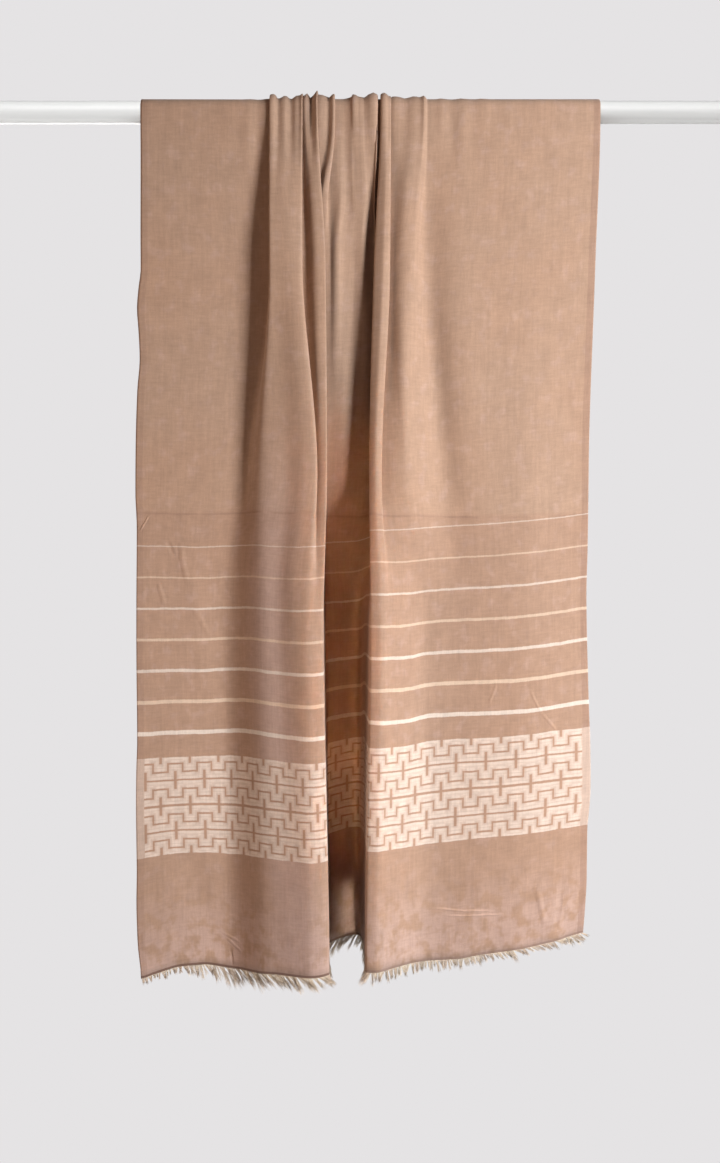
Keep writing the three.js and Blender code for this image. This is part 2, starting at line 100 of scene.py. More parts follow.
BACK_LOWER = {
    "left_edge": ((8, -270, 13), (20, -271, 14), (20, -266, 26), (20, -262, 30)),
    "valley": ((10, -109, 14), (50, -158, 18), (50, -160, 46), (50, -162, 48)),
    "pleat_left": ((10, -116.5, 30), (30, -150, 62), (30, -146, 78), (30, -146, 78)),
    "pleat_right": ((4, -76, 46), (30, -134, 96), (40, -130, 102), (40, -130, 100)),
    "tuck_a": ((4, -82, 38), (20, -124, 97), (30, -120, 103), (30, -120, 101)),
    "ridge_b": ((4, -52, 38), (24, -114, 84), (30, -110, 88), (30, -110, 86)),
    "return_left": ((10, -88, 17), (40, -100, 25), (50, -94, 32), (50, -92, 34)),
    "fold_d": ((12, -42, 26), (30, -90, 58), (40, -80, 84), (40, -78, 84)),
    "tuck_d": ((12, -40, 23), (30, -78, 68), (40, -68, 100), (40, -66, 100)),
    "wave_1": ((14, -27, 22), (30, -52, 74), (40, -48, 112), (40, -46, 112)),
    "wave_2": ((14, -20, 20), (40, -25, 66), (50, -28, 107), (50, -28, 107)),
    "wave_3": ((14, -10, 22), (30, 2, 74), (40, -6, 112), (40, -8, 112)),
    "wave_4": ((14, -4, 20), (30, 22, 72), (40, 14, 104), (40, 12, 104)),
    "fold_f": ((12, 4, 19), (20, 42, 66), (30, 30, 92), (30, 28, 92)),
    "tuck_f": ((12, 8, 16), (20, 52, 54), (30, 38, 74), (30, 36, 74)),
    "hidden": ((8, 62, 16), (40, 64, 24), (50, 52, 31), (50, 50, 33)),
    "ridge_g": ((4, 0, 36), (30, 76, 76), (40, 68, 78), (40, 68, 78)),
    "face_g": ((8, 22, 46), (20, 89, 99), (30, 84, 100), (30, 84, 98)),
    "crease_h": ((4, 32, 44), (16, 97, 98), (24, 92, 100), (24, 92, 98)),
    "tuck_h": ((4, 30, 38), (16, 103, 91), (24, 98, 94), (24, 98, 92)),
    "step_i": ((20, 60, 32), (30, 114, 58), (40, 111, 63), (40, 111, 62)),
    "flat_i": ((26, 74, 16), (60, 126, 22), (60, 124, 27), (60, 124, 28)),
    "sag_j": ((40, 180, 13), (60, 185, 12), (60, 180, 14), (60, 176, 16)),
    "curl_j": ((30, 236, 13), (40, 228, 17), (40, 222, 24), (40, 219, 28)),
    "right_edge": ((8, 261, 13), (20, 251, 16), (20, 246, 20), (20, 243, 22)),
}
BACK_FOLDS = tuple((f[0], f[1], f[2]) + BACK_LOWER[f[0]] for f in FRONT_FOLDS)
# How many mesh columns lie between each fold line and the next.
COLUMNS = dict(
    left_edge=40, valley=8, pleat_left=22, pleat_right=6, tuck_a=12, ridge_b=10,
    return_left=14, fold_d=5, tuck_d=5, wave_1=5, wave_2=4, wave_3=4, wave_4=5,
    fold_f=4, tuck_f=6, hidden=10, ridge_g=7, face_g=4, crease_h=4, tuck_h=14,
    step_i=7, flat_i=32, sag_j=10, curl_j=7,
)
# Between the two layers of a lap where the cloth crosses the rod.
FOLD_GAP = 2.2
# Where the ridges at both sides of the recess lie across the flat cloth.
RIDGE_B, RIDGE_G = 250.0, 526.0
# Below this drop the rows stretch or shrink to meet the hem.
FREE_FROM = 300.0
# The front hem is level up to this place across, then it rises this much a mm.
HEM_TURN, HEM_RISE = 235.0, 0.069
# The two drops together, the cloth's middle out from the rod's centre plane
# where it lies smooth, and the radius it turns at over the top.
BOTH_DROPS, SMOOTH_OUT, TURN_RADIUS = 1952, 13.2, 12.0
# The cloth's slope at a point is read this far to both sides of it.
ASIDE = 0.3

# How far the front hangs below (or above) its even line, in mm: across, then
# at the hem, the fret's foot, the fret's top, the lowest and the top stripe.
SAG_HEIGHTS = (0, 138, 251, 281, 502, 880)
SAG = (
    (0, 4.5, 3.0, -1.5, -0.5, -1.5),
    (15, 0.5, 1.0, -2.1, -0.5, -1.5),
    (50, -7.2, -2.1, -2.7, -1.8, -0.8),
    (75, -7.7, -1.9, -3.1, -1.3, -0.5),
    (112, -2.5, 0.2, -3.5, -2.5, -1.9),
    (150, -4.6, -1.6, -4.4, -4.2, -2.2),
    (185, -8.0, -2.1, -3.0, -1.8, 0.4),
    (215, -8.8, -1.8, -1.6, 0.0, 1.3),
    (250, -10.6, -2.4, -1.7, 0.3, 0.6),
    (330, -2.0, 0.0, 0.0, -0.5, 0.6),
    (396, 0.0, 0.0, -0.8, -0.4, 1.5),
    (425, 0.0, 0.0, -4.4, -4.4, -3.4),
    (470, 0.5, 0.5, -2.0, -2.0, -1.0),
    (526, 1.7, 3.4, -0.5, 0.6, 2.6),
    (550, 3.2, 5.0, 1.2, 3.0, 3.8),
    (580, 5.8, 8.3, 3.9, 5.3, 4.4),
    (612, 8.8, 10.4, 3.3, 3.6, 3.3),
    (645, 9.4, 9.3, 2.7, 4.2, 3.2),
    (675, 5.9, 7.5, 3.6, 5.2, 4.1),
    (722, 1.8, 6.1, 2.7, 5.8, 3.7),
    (768, -4.7, 3.5, 0.7, 2.6, 2.1),
    (786, -8.1, 2.6, 0.7, 0.9, 0.9),
    (800, -9.8, 1.6, -0.3, 0.4, 0.0),
)
# The front's two long edges waver sideways: drop, shift to the right in mm.
LEFT_WAVER = (
    (0, 0), (60, 0.6), (150, 1.6), (190, 2.2), (212, -0.2), (235, -1.6), (258, 0.3), (295, 2.3),
    (330, -0.1), (400, -1.6), (450, -1.8), (490, -0.2), (590, -0.8), (696, -0.9), (740, -1.4),
    (780, -3.4), (830, -4.8), (886, -5.2), (930, -6.4), (970, -5.6), (1013, -1.8),
)
RIGHT_WAVER = (
    (0, 0), (400, -1.2), (520, -1.4), (560, -2.1), (610, -1.2), (660, 0.6), (700, 2.2), (745, 4.4),
    (795, 5.3), (818, 4.2), (840, 2.2), (905, 2.1), (940, 0.5), (1000, -3),
)
# The waver dies away this far in from an edge.
WAVER_REACH = 45.0
# How far the mesh columns crowd towards the fold lines, in the flat left wing
# and in the rest, and how far the rows crowd towards the rod.
WING_CROWD, FOLD_CROWD, ROW_CROWD = 0.35, 0.7, 1.25
# Mesh rows on the front, over the rod and on the back.
MESH_ROWS = (110, 13, 76)

# Soft troughs (depth < 0) and ridges (depth > 0) pressed into each side of the
# cloth: across and drop of one end, across and drop of the other, half-width,
# depth, all in mm.  Drops below 0 carry on over the rod.
FRONT_CREASES = (
    (184, -60, 212, 640, 15, 3.2), (184, 200, 200, 900, 14, -2.0), (238, 20, 241, 520, 6.5, 4.0),
    (568, 40, 590, 520, 8, 3.2), (604, 60, 640, 470, 15, -5.0), (640, 90, 676, 560, 26, 2.5),
    (614, -30, 614, 36, 3.6, 1.3), (628, -20, 626, 70, 5.0, -1.3), (637, -40, 642, 120, 5.5, 1.7),
    (652, -10, 656, 60, 6.0, -0.8), (663, -30, 663, 34, 4.0, 1.2), (692, -10, 694, 30, 6.0, 0.7),
    (148, -30, 144, 46, 5.0, 1.4), (136, -20, 134, 90, 5.0, -1.3), (126, -20, 122, 80, 5.0, 1.2),
    (104, -10, 100, 50, 7.0, 0.8), (231, -20, 226, 260, 4.8, -5.4), (302, -20, 316, 200, 4.5, -3.0),
    (311, -20, 322, 200, 4.0, 2.4), (346, 0, 352, 330, 5, 2.0), (357, -30, 358, 150, 4.5, -3.5),
    (357, 60, 362, 360, 6, -2.5), (364.5, -30, 367, 110, 4.0, -2.6), (377, -20, 383, 200, 5, 2.0),
    (392, 0, 396, 240, 9, -3.4), (573, 0, 578, 190, 8, 3.0), (60, 480, 84, 700, 14, 1.6),
    (40, 820, 96, 1010, 16, -2.2), (690, 860, 640, 1000, 18, 1.8), (752, 900, 770, 1000, 10, 1.8),
    (592, 640, 600, 1000, 13, 2.0),
)
BACK_CREASES = (
    (130, -20, 126, 70, 6.0, 1.4), (640, -20, 646, 90, 6.0, 1.5), (668, -10, 664, 60, 7.0, -1.0),
    (60, 300, 110, 620, 18, 2.4), (700, 420, 660, 800, 20, 2.8), (90, 760, 50, 980, 16, -2.4),
    (730, 760, 750, 980, 14, 2.2), (370, 400, 400, 900, 14, 3.0),
)
# Where the gathers swell over the rod: x, and how much of the folds' thickness
# stands there, so that soft crowns and dips follow one another.
CROWN = (
    (-130, 1.0), (-118, 0.9), (-113, 0.85), (-109, 0.1), (-104, 0.3), (-100, 0.6), (-96, 0.1),
    (-92, 0.05), (-88, 0.5), (-84, 0.55), (-80, 0.85), (-76.5, 1.5), (-74, 1.5), (-71.4, 0.3),
    (-66, 0.95), (-61, 1.7), (-58, 1.3), (-54.5, 1.1), (-50, 0.3), (-44.5, 0.9), (-40.5, 1.0),
    (-36, 0.6), (-29, 0.7), (-24, 0.5), (-20, 1.5), (-16, 1.2), (-12, 1.3), (-6, 1.2),
    (-2.4, 1.5), (1, 1.3), (4.4, 1.25), (7.9, 0.6), (11.3, 1.2), (14.8, 1.15), (18.2, 0.75),
    (21.7, 0.4), (25.2, 1.2), (28.7, 1.1), (32, 0.95), (35.6, 0.5), (39.1, 0.2), (43, 0.35),
    (49, 0.66), (53, 0.58), (56.4, 0.42), (60, 0.6), (64, 1.0), (80, 1.0),
)
# The swelling dies away about this far below the rod.
CROWN_DROP = 55.0
# Small wrinkles pressed in by handling, drawn by the material: across and
# height above the front hem of both ends, half-width and relief in mm, and how
# much lighter the crest is painted as a painted highlight (below 0, painted shade in a trough).
WRINKLES = (
    (614, 62, 694, 50, 1.3, 0.9, 0.3), (628, 53, 706, 44, 1.3, 0.9, 0.28),
    (730, 306, 744, 275, 1.4, 0.5, 0.09), (743, 277, 762, 251, 1.4, 0.5, 0.1),
    (691, 316, 681, 290, 1.6, 0.4, 0.07), (596, 210, 560, 180, 2.5, 0.5, 0.03),
    (98, 42, 127, 32, 1.5, 0.6, 0.07), (104, 37, 130, 20, 1.5, 0.6, 0.06),
    (111, 24, 114, 2, 1.6, -0.8, -0.1), (52, 508, 62, 456, 3.0, 0.9, 0.03),
    (26, 460, 34, 430, 2.5, 0.8, 0.04), (36, 508, 46, 488, 2.5, -0.8, -0.03),
    (3, 517, 15, 537, 0.9, 0.9, 0.22), (70, 430, 90, 395, 3.0, 0.6, 0.03),
    (740, 74, 752, 20, 3.0, 1.0, 0.05), (770, 64, 764, 12, 3.0, -0.8, -0.03),
    (160, 1950, 226, 1962, 1.4, 0.7, 0.14), (168, 1957, 236, 1970, 1.4, 0.7, 0.14),
    (600, 1712, 628, 1668, 1.6, 0.5, 0.09), (90, 1530, 120, 1486, 2.6, 0.8, 0.04),
    (700, 1890, 690, 1940, 3.0, 0.9, 0.04), (330, 1700, 372, 1655, 3.0, 0.8, 0.03),
)


def monotone(xs, ys, x):
    """Values at x of the monotone cubic through the stations."""
    xs, ys = np.asarray(xs, float), np.asarray(ys, float)
    gap = np.diff(xs)
    slope = np.diff(ys) / gap
    tangent = np.zeros(len(xs))
    for i in range(1, len(xs) - 1):
        if slope[i - 1] * slope[i] > 0:
            a, b = 2 * gap[i] + gap[i - 1], gap[i] + 2 * gap[i - 1]
            tangent[i] = (a + b) / (a / slope[i - 1] + b / slope[i])
    x = np.clip(x, xs[0], xs[-1])
    k = np.clip(np.searchsorted(xs, x, side="right") - 1, 0, len(xs) - 2)
    t = (x - xs[k]) / gap[k]
    return (
        (2 * t**3 - 3 * t**2 + 1) * ys[k] + (t**3 - 2 * t**2 + t) * gap[k] * tangent[k]
        + (3 * t**2 - 2 * t**3) * ys[k + 1] + (t**3 - t**2) * gap[k] * tangent[k + 1]
    )


class Drape:
    """Where every point of the hanging cloth lies, in mm.

    Across runs from the left edge to the right one; drop runs down from the
    rod's centre on the front or on the back.
    """

    def __init__(self, width, length, steps=3200):
        self.width, self.length, self.steps = width, length, steps
        self.us = np.linspace(0, width, steps + 1)
        self.known = {}

    def front_hem(self, across):
        return FRONT_STATIONS[-1] - HEM_RISE * np.maximum(0, across - HEM_TURN)

    def hem(self, back, across):
        return BOTH_DROPS - self.front_hem(across) if back else self.front_hem(across)

    def section(self, back, drop):
        """x and out for every step across, and each fold's place."""
        key = (back, round(drop, 3))
        if key in self.known:
            return self.known[key]
        folds = BACK_FOLDS if back else FRONT_FOLDS
        stations = BACK_STATIONS if back else FRONT_STATIONS
        pts, soft, names = [], [], []
        for fold in folds:
            s, x, out = (monotone(stations, [p[i] for p in fold[2:]], drop) for i in range(3))
            half = fold[1] * FOLD_GAP * monotone(stations, (1, 0.5, 0, 0, 0), drop) / 2
            for side in ((-1, 1) if fold[1] else (0,)):
                pts.append((x, out + side * half))
                soft.append(s)
                names.append(fold[0])
        pts = np.array(pts)
        along = np.concatenate([[0], np.cumsum(np.hypot(*np.diff(pts, axis=0).T))])
        middle = {n: np.mean([a for a, m in zip(along, names) if m == n]) for n in names}
        b, g = RIDGE_B, RIDGE_G
        if back:
            t = min(1, drop / stations[1])
            t = t * t * (3 - 2 * t)
            b += (middle["ridge_b"] * self.width / along[-1] - b) * t
            g += (middle["ridge_g"] * self.width / along[-1] - g) * t
        path = [0, middle["ridge_b"], middle["ridge_g"], along[-1]]
        cloth = [0, b, g, self.width]
        at = np.interp(self.us, cloth, path)
        x, out = np.interp(at, along, pts[:, 0]), np.interp(at, along, pts[:, 1])
        window = np.interp(self.us, np.interp(along, path, cloth), soft)
        window = np.minimum(window, 2 * np.minimum(self.us, self.width - self.us) + 1e-6) / 2
        step = self.us[1]
        low = np.clip(self.us - window / 2, 0, self.width)
        high = np.clip(self.us + window / 2, 0, self.width)
        wide = high - low > step / 2
        for _ in range(2):
            rounded = []
            for values in (x, out):
                area = np.concatenate([[0], np.cumsum((values[1:] + values[:-1]) / 2 * step)])
                mean = np.interp(high, self.us, area) - np.interp(low, self.us, area)
                mean = mean / np.maximum(high - low, 1e-9)
                rounded.append(np.where(wide, mean, values))
            x, out = rounded
        places = [np.interp(middle[f[0]], path, cloth) for f in folds]
        self.known[key] = (x, out, places)
        return self.known[key]

    def columns(self, places):
        """Mesh columns that follow the fold lines and crowd towards them."""
        us = []
        for i, name in enumerate(COLUMNS):
            n = COLUMNS[name]
            t = np.arange(n) / n
            crowd = WING_CROWD if i == 0 else FOLD_CROWD
            t = t - crowd * np.sin(2 * math.pi * t) / (2 * math.pi)
            us.extend(places[i] + (places[i + 1] - places[i]) * t)
        return np.array(us + [self.width])

    def row(self, back, drop, turn=None, us=None):
        """One row of points (x, y, z), their across and along coordinates."""
        x, out, places = self.section(back, 0.0 if turn is not None else drop)
        us = self.columns(places) if us is None else us
        px, pout = np.interp(us, self.us, x), np.interp(us, self.us, out)
        tx, tout = (
            np.interp(us + ASIDE, self.us, values) - np.interp(us - ASIDE, self.us, values)
            for values in (x, out)
        )
        size = np.maximum(np.hypot(tx, tout), 1e-9)
        if turn is None:
            lowest = (BACK_STATIONS if back else FRONT_STATIONS)[-1]
            real = np.full_like(us, drop)
            if drop > FREE_FROM:
                stretch = (self.hem(back, us) - FREE_FROM) / (lowest - FREE_FROM)
                real = FREE_FROM + (drop - FREE_FROM) * stretch
            press = self.pressed(back, us, real)
            px, pout = px - press * tout / size, pout + press * tx / size
            pout = self.crowned(px, pout, math.exp(-((drop / CROWN_DROP) ** 2)))
            rest = self.hem(back, us) - real
            along = self.length - rest if back else rest
            if not back:
                px = px + self.waver(us, real)
                real = real + self.sag(us, rest)
            ys, zs = (pout if back else -pout), -real
        else:
            behind = min(max((turn - 1.2) / 0.74, 0.0), 1.0)
            press = self.pressed(False, us, -TURN_RADIUS * turn) * (1 - behind)
            press = press + self.pressed(True, us, -TURN_RADIUS * (math.pi - turn)) * behind
            px, pout = px - press * tout / size, pout + press * tx / size
            pout = self.crowned(px, pout, 1.0)
            ys, zs = -pout * math.cos(turn), pout * math.sin(turn)
            over = turn / math.pi
            front, behind = self.hem(False, us), self.length - self.hem(True, us)
            along = front + (behind - front) * over
        return np.stack([px, ys, zs], 1), us, along

    def crowned(self, x, out, share):
        """Swell and sink the gathers where they ride over the rod."""
        swell = 1 + (monotone(*zip(*CROWN), x) - 1) * share
        rise = out - SMOOTH_OUT
        return SMOOTH_OUT + np.where(rise > 0, rise * swell, rise)

    def sag(self, us, heights):
        """How far below its even line each point of the front hangs."""
        across = [line[0] for line in SAG]
        levels = [monotone(across, [line[k] for line in SAG], us) for k in range(1, 6)]
        levels.append(np.zeros_like(us))
        total = np.zeros_like(us)
        for k in range(5):
            low, high = SAG_HEIGHTS[k], SAG_HEIGHTS[k + 1]
            t = (heights - low) / (high - low)
            here = (t >= 0) & (t < 1)
            total = np.where(here, levels[k] + (levels[k + 1] - levels[k]) * t, total)
        return total

    def waver(self, us, drops):
        """Sideways wander of the two long edges of the front."""
        left = monotone(*zip(*LEFT_WAVER), drops) * np.exp(-us / WAVER_REACH)
        right = monotone(*zip(*RIGHT_WAVER), drops) * np.exp(-(self.width - us) / WAVER_REACH)
        return left + right

    def pressed(self, back, us, drops):
        total = np.zeros_like(us)
        for u0, d0, u1, d1, half, depth in BACK_CREASES if back else FRONT_CREASES:
            du, dd = u1 - u0, d1 - d0
            span = math.hypot(du, dd)
            t = ((us - u0) * du + (drops - d0) * dd) / span**2
            off = ((us - u0) * dd - (drops - d0) * du) / span
            fade = np.clip(1 - np.abs(t - 0.5) * 2, 0, 1) ** 0.7
            total += depth * fade * np.exp(-((off / half) ** 2))
        return total

    def grid(self, front_rows, turns, back_rows):
        """All rows, from the front hem over the rod to the back hem."""
        up = np.linspace(1, 0, front_rows + 1) ** ROW_CROWD
        down = np.linspace(0, 1, back_rows + 1) ** ROW_CROWD
        rows = [self.row(False, FRONT_STATIONS[-1] * share) for share in up]
        rows += [self.row(False, 0, math.pi * (i + 1) / (turns + 1)) for i in range(turns)]
        rows += [self.row(True, BACK_STATIONS[-1] * share) for share in down]
        return tuple(np.stack(part) for part in zip(*rows))


# ------------------------------------------------------------ shader helpers
class Graph:
    """Short words for building a node tree."""

    def __init__(self, tree):
        self.tree = tree

    def node(self, kind, inputs=None, **settings):
        made = self.tree.nodes.new(kind)
        for key, value in settings.items():
            setattr(made, key, value)
        self.fill(made, inputs or {})
        return made

    def fill(self, made, inputs):
        for key, value in inputs.items():
            self.put(made.inputs[key], value)

    def put(self, socket, value):
        if isinstance(value, bpy.types.NodeSocket):
            self.tree.links.new(value, socket)
        elif value is not None:
            socket.default_value = value

    def math(self, operation, *values):
        return self.node("ShaderNodeMath", dict(enumerate(values)), operation=operation).outputs[0]

    def plus(self, a, b):
        return self.math("ADD", a, b)

    def minus(self, a, b):
        return self.math("SUBTRACT", a, b)

    def times(self, a, b):
        return self.math("MULTIPLY", a, b)

    def times_plus(self, a, b, c):
        return self.math("MULTIPLY_ADD", a, b, c)

    def least(self, a, b):
        return self.math("MINIMUM", a, b)

    def most(self, a, b):
        return self.math("MAXIMUM", a, b)

    def unsigned(self, a):
        return self.math("ABSOLUTE", a)

    def step(self, value, low, high, to_low=0.0, to_high=1.0):
        inputs = dict(enumerate((value, low, high, to_low, to_high)))
        return self.node("ShaderNodeMapRange", inputs, interpolation_type="SMOOTHSTEP").outputs[0]

    def mix(self, mask, a, b, blend="MIX"):
        inputs = {0: mask, 6: a, 7: b}
        return self.node("ShaderNodeMix", inputs, data_type="RGBA", blend_type=blend).outputs[2]

    def noise(self, vector, scale, detail=2.0, rough=0.5):
        inputs = {"Vector": vector, "Scale": scale, "Detail": detail, "Roughness": rough}
        return self.node("ShaderNodeTexNoise", inputs).outputs["Fac"]

    def vector(self, x, y, z=0.0):
        return self.node("ShaderNodeCombineXYZ", {0: x, 1: y, 2: z}).outputs[0]

    def split(self, vector):
        return self.node("ShaderNodeSeparateXYZ", {0: vector}).outputs

    def patches(self, x, y, per_x, per_y, salt=0.0, detail=2.0, rough=0.5):
        """Noise whose patches are as wide and as tall as the two rates say."""
        place = self.vector(self.times(x, per_x), self.times(y, per_y), salt)
        return self.noise(place, 1.0, detail, rough)


def rgba(colour):
    return tuple(colour) + (1,)


def shader_group(name, inputs, outputs):
    """An empty shader node group with the named float sockets."""
    tree = bpy.data.node_groups.new(name, "ShaderNodeTree")
    for label, value in inputs:
        made = tree.interface.new_socket(name=label, in_out="INPUT", socket_type="NodeSocketFloat")
        made.default_value = value
    for label in outputs:
        tree.interface.new_socket(name=label, in_out="OUTPUT", socket_type="NodeSocketFloat")
    graph = Graph(tree)
    return tree, graph, graph.node("NodeGroupInput").outputs, graph.node("NodeGroupOutput").inputs


def fret_group():
    """Greek key and crossed bars, woven as lines on a band.

    Across counts from the cloth's left edge and Down from the band's top, in
    mm.  Line is 1 on the lines, Upright is 1 close to an upright of the
    pattern, where less of the cream floats on top, and Rail is the faint
    thread that runs level between two lines.
    """
    tree, g, given, out = shader_group(
        "fret_lines",
        (("Across", 0.0), ("Down", 0.0), ("Repeat", 35.16), ("Depth", 113.0), ("Edge", 0.5)),
        ("Line", "Upright", "Rail"),
    )
    first_column, course_gap, first_key, first_cross = 10.5, 29.6, 12.4, 26.8
    key_half, bar_reach, top_stub, foot_stub, rail_away = 4.8, 9.0, 6.1, 7.1, 4.6
    # half the thickness of the lines, more where a level line is an odd one
    line_half, more_on_odd, bar_half = 1.05, 0.35, 1.55
    across, down, repeat = given["Across"], given["Down"], given["Repeat"]
    half = g.times(repeat, 0.5)
    column = g.math("PINGPONG", g.minus(across, first_column), half)
    between = g.minus(half, column)
    quarter = g.times(repeat, 0.25)
    rise = g.unsigned(g.minus(column, quarter))
    side = g.math("SIGN", g.minus(quarter, column))
    # the key: a square wave whose turns alternate from one course to the next
    course = g.math("ROUND", g.math("DIVIDE", g.minus(down, first_key), course_gap))
    from_key = g.minus(down, g.times_plus(course, course_gap, first_key))
    flip = g.times_plus(g.math("FLOORED_MODULO", course, 2.0), 2.0, -1.0)
    swing = g.times(g.times(side, flip), key_half)
    key = g.unsigned(g.minus(from_key, swing))
    past = g.minus(g.unsigned(from_key), key_half)
    riser = g.most(rise, past)
    # the crosses: a level line with short bars through it
    rank = g.math("ROUND", g.math("DIVIDE", g.minus(down, first_cross), course_gap))
    rank = g.least(g.most(rank, 0.0), 2.0)
    level = g.unsigned(g.minus(down, g.times_plus(rank, course_gap, first_cross)))
    odd = g.math("FLOORED_MODULO", rank, 2.0)
    even = g.minus(1.0, odd)
    place = g.plus(g.times(odd, between), g.times(even, column))
    bar = g.most(place, g.minus(level, bar_reach))
    from_top = g.minus(down, top_stub)
    from_foot = g.minus(g.minus(given["Depth"], foot_stub), down)
    stub = g.most(between, g.least(from_top, from_foot))
    far = g.minus(g.least(key, riser), line_half)
    far = g.least(far, g.minus(level, g.times_plus(odd, more_on_odd, line_half)))
    far = g.least(far, g.minus(g.least(bar, stub), bar_half))
    edge = given["Edge"]
    g.put(out["Line"], g.step(far, g.times(edge, -1.0), edge, 1.0, 0.0))
    upright = g.least(g.least(riser, bar), stub)
    g.put(out["Upright"], g.step(upright, 1.6, 5.4, 1.0, 0.0))
    flat = g.least(key, level)
    g.put(out["Rail"], g.step(g.unsigned(g.minus(flat, rail_away)), 0.2, 0.9, 1.0, 0.0))
    return tree


def thread_group():
    """Slubby warp and weft: the yarn's tone, its relief and broad streaks."""
    tree, g, given, out = shader_group(
        "wool_threads",
        (("Across", 0.0), ("Along", 0.0), ("Pitch", 0.55)),
        ("Grain", "Height", "Streak"),
    )
    across, along, pitch = given["Across"], given["Along"], given["Pitch"]
    a, b = g.math("DIVIDE", across, pitch), g.math("DIVIDE", along, pitch)

    def layer(per_warp, per_weft, salt, detail=2.0):
        return g.patches(a, b, per_warp, per_weft, salt, detail, 0.6)

    warp = layer(0.62, 0.05, 0.0)
    weft = layer(0.05, 0.62, 7.0)
    fuzz = layer(0.45, 0.45, 3.0, 3.0)
    grain = g.times_plus(weft, 0.25, g.times(fuzz, 0.35))
    grain = g.times_plus(warp, 0.4, grain)
    g.put(out["Grain"], grain)
    twill = g.math("SINE", g.times(g.plus(a, b), math.pi))
    g.put(out["Height"], g.times_plus(twill, 0.12, grain))
    long_warp = layer(0.18, 0.01, 11.0)
    wisp = layer(0.035, 0.2, 13.0, 3.0)
    cloud = layer(0.03, 0.022, 17.0, 3.0)
    streak = g.times_plus(wisp, 0.35, g.times(long_warp, 0.3))
    g.put(out["Streak"], g.times_plus(cloud, 0.35, streak))
    return tree


def wrinkle_group():
    """Fine pressed wrinkles: their relief in mm, and painted light on them: lighter crests, darker
    troughs.
    """
    sockets = (("Across", 0.0), ("Along", 0.0))
    tree, g, given, out = shader_group("wool_wrinkles", sockets, ("Height", "PaintedCrestShading"))
    stir = g.patches(given["Across"], given["Along"], 0.06, 0.06)
    height, painted_crest_shading = 0.0, 0.0
    for u0, v0, u1, v1, half, relief, light in WRINKLES:
        du, dv = u1 - u0, v1 - v0
        span = math.hypot(du, dv)
        x = g.minus(given["Across"], float(u0))
        y = g.minus(given["Along"], float(v0))
        t = g.times_plus(x, du / span**2, g.times(y, dv / span**2))
        off = g.times_plus(x, dv / span, g.times(y, -du / span))
        off = g.unsigned(g.plus(off, g.times_plus(stir, half * 1.6, half * -0.8)))
        ends = g.step(g.unsigned(g.minus(t, 0.5)), 0.22, 0.52, 1.0, 0.0)
        mask = g.times(g.step(off, 0.0, half * 1.8, 1.0, 0.0), ends)
        height = g.times_plus(mask, relief, height)
        # painted highlight on a crest, painted shade in a trough
        painted_crest_shading = g.times_plus(mask, light, painted_crest_shading)
    g.put(out["Height"], height)
    g.put(out["PaintedCrestShading"], painted_crest_shading)
    return tree


def empty_graph(owner):
    """The node tree of a material or a world, cleared."""
    owner.use_nodes = True
    owner.node_tree.nodes.clear()
    return Graph(owner.node_tree)


def new_material(name, fixed):
    """A material with one principled shader and its fixed settings."""
    material = bpy.data.materials.new(name)
    g = empty_graph(material)
    shader = g.node("ShaderNodeBsdfPrincipled", fixed)
    g.node("ShaderNodeOutputMaterial", {"Surface": shader.outputs[0]})
    return material, g, shader


def call_group(g, tree, **values):
    return g.node("ShaderNodeGroup", values, node_tree=tree).outputs


def bump(g, height, strength, distance, onto=None):
    inputs = {"Normal": onto, "Strength": strength, "Distance": distance, "Height": height}
    return g.node("ShaderNodeBump", inputs).outputs["Normal"]


# The seven stripes, in mm: the lowest one's height above the hem, the distance
# from one to the next, half the thickness of the lowest and what each loses.
STRIPE_FOOT, STRIPE_GAP, STRIPE_HALF, STRIPE_THINS = 281.0, 36.6, 2.45, 0.3
TOP_STRIPE = 6.0
# The firm edges end between these two distances from the rim of the cloth.
EDGE_FROM, EDGE_TO = 8.6, 9.6
# How softly a change of yarn is drawn, in mm to each side: the ground's tone,
# the rows of the fret band and the stripes.
TONE_BLUR, BAND_BLUR, STRIPE_BLUR = 3, 0.4, 0.45


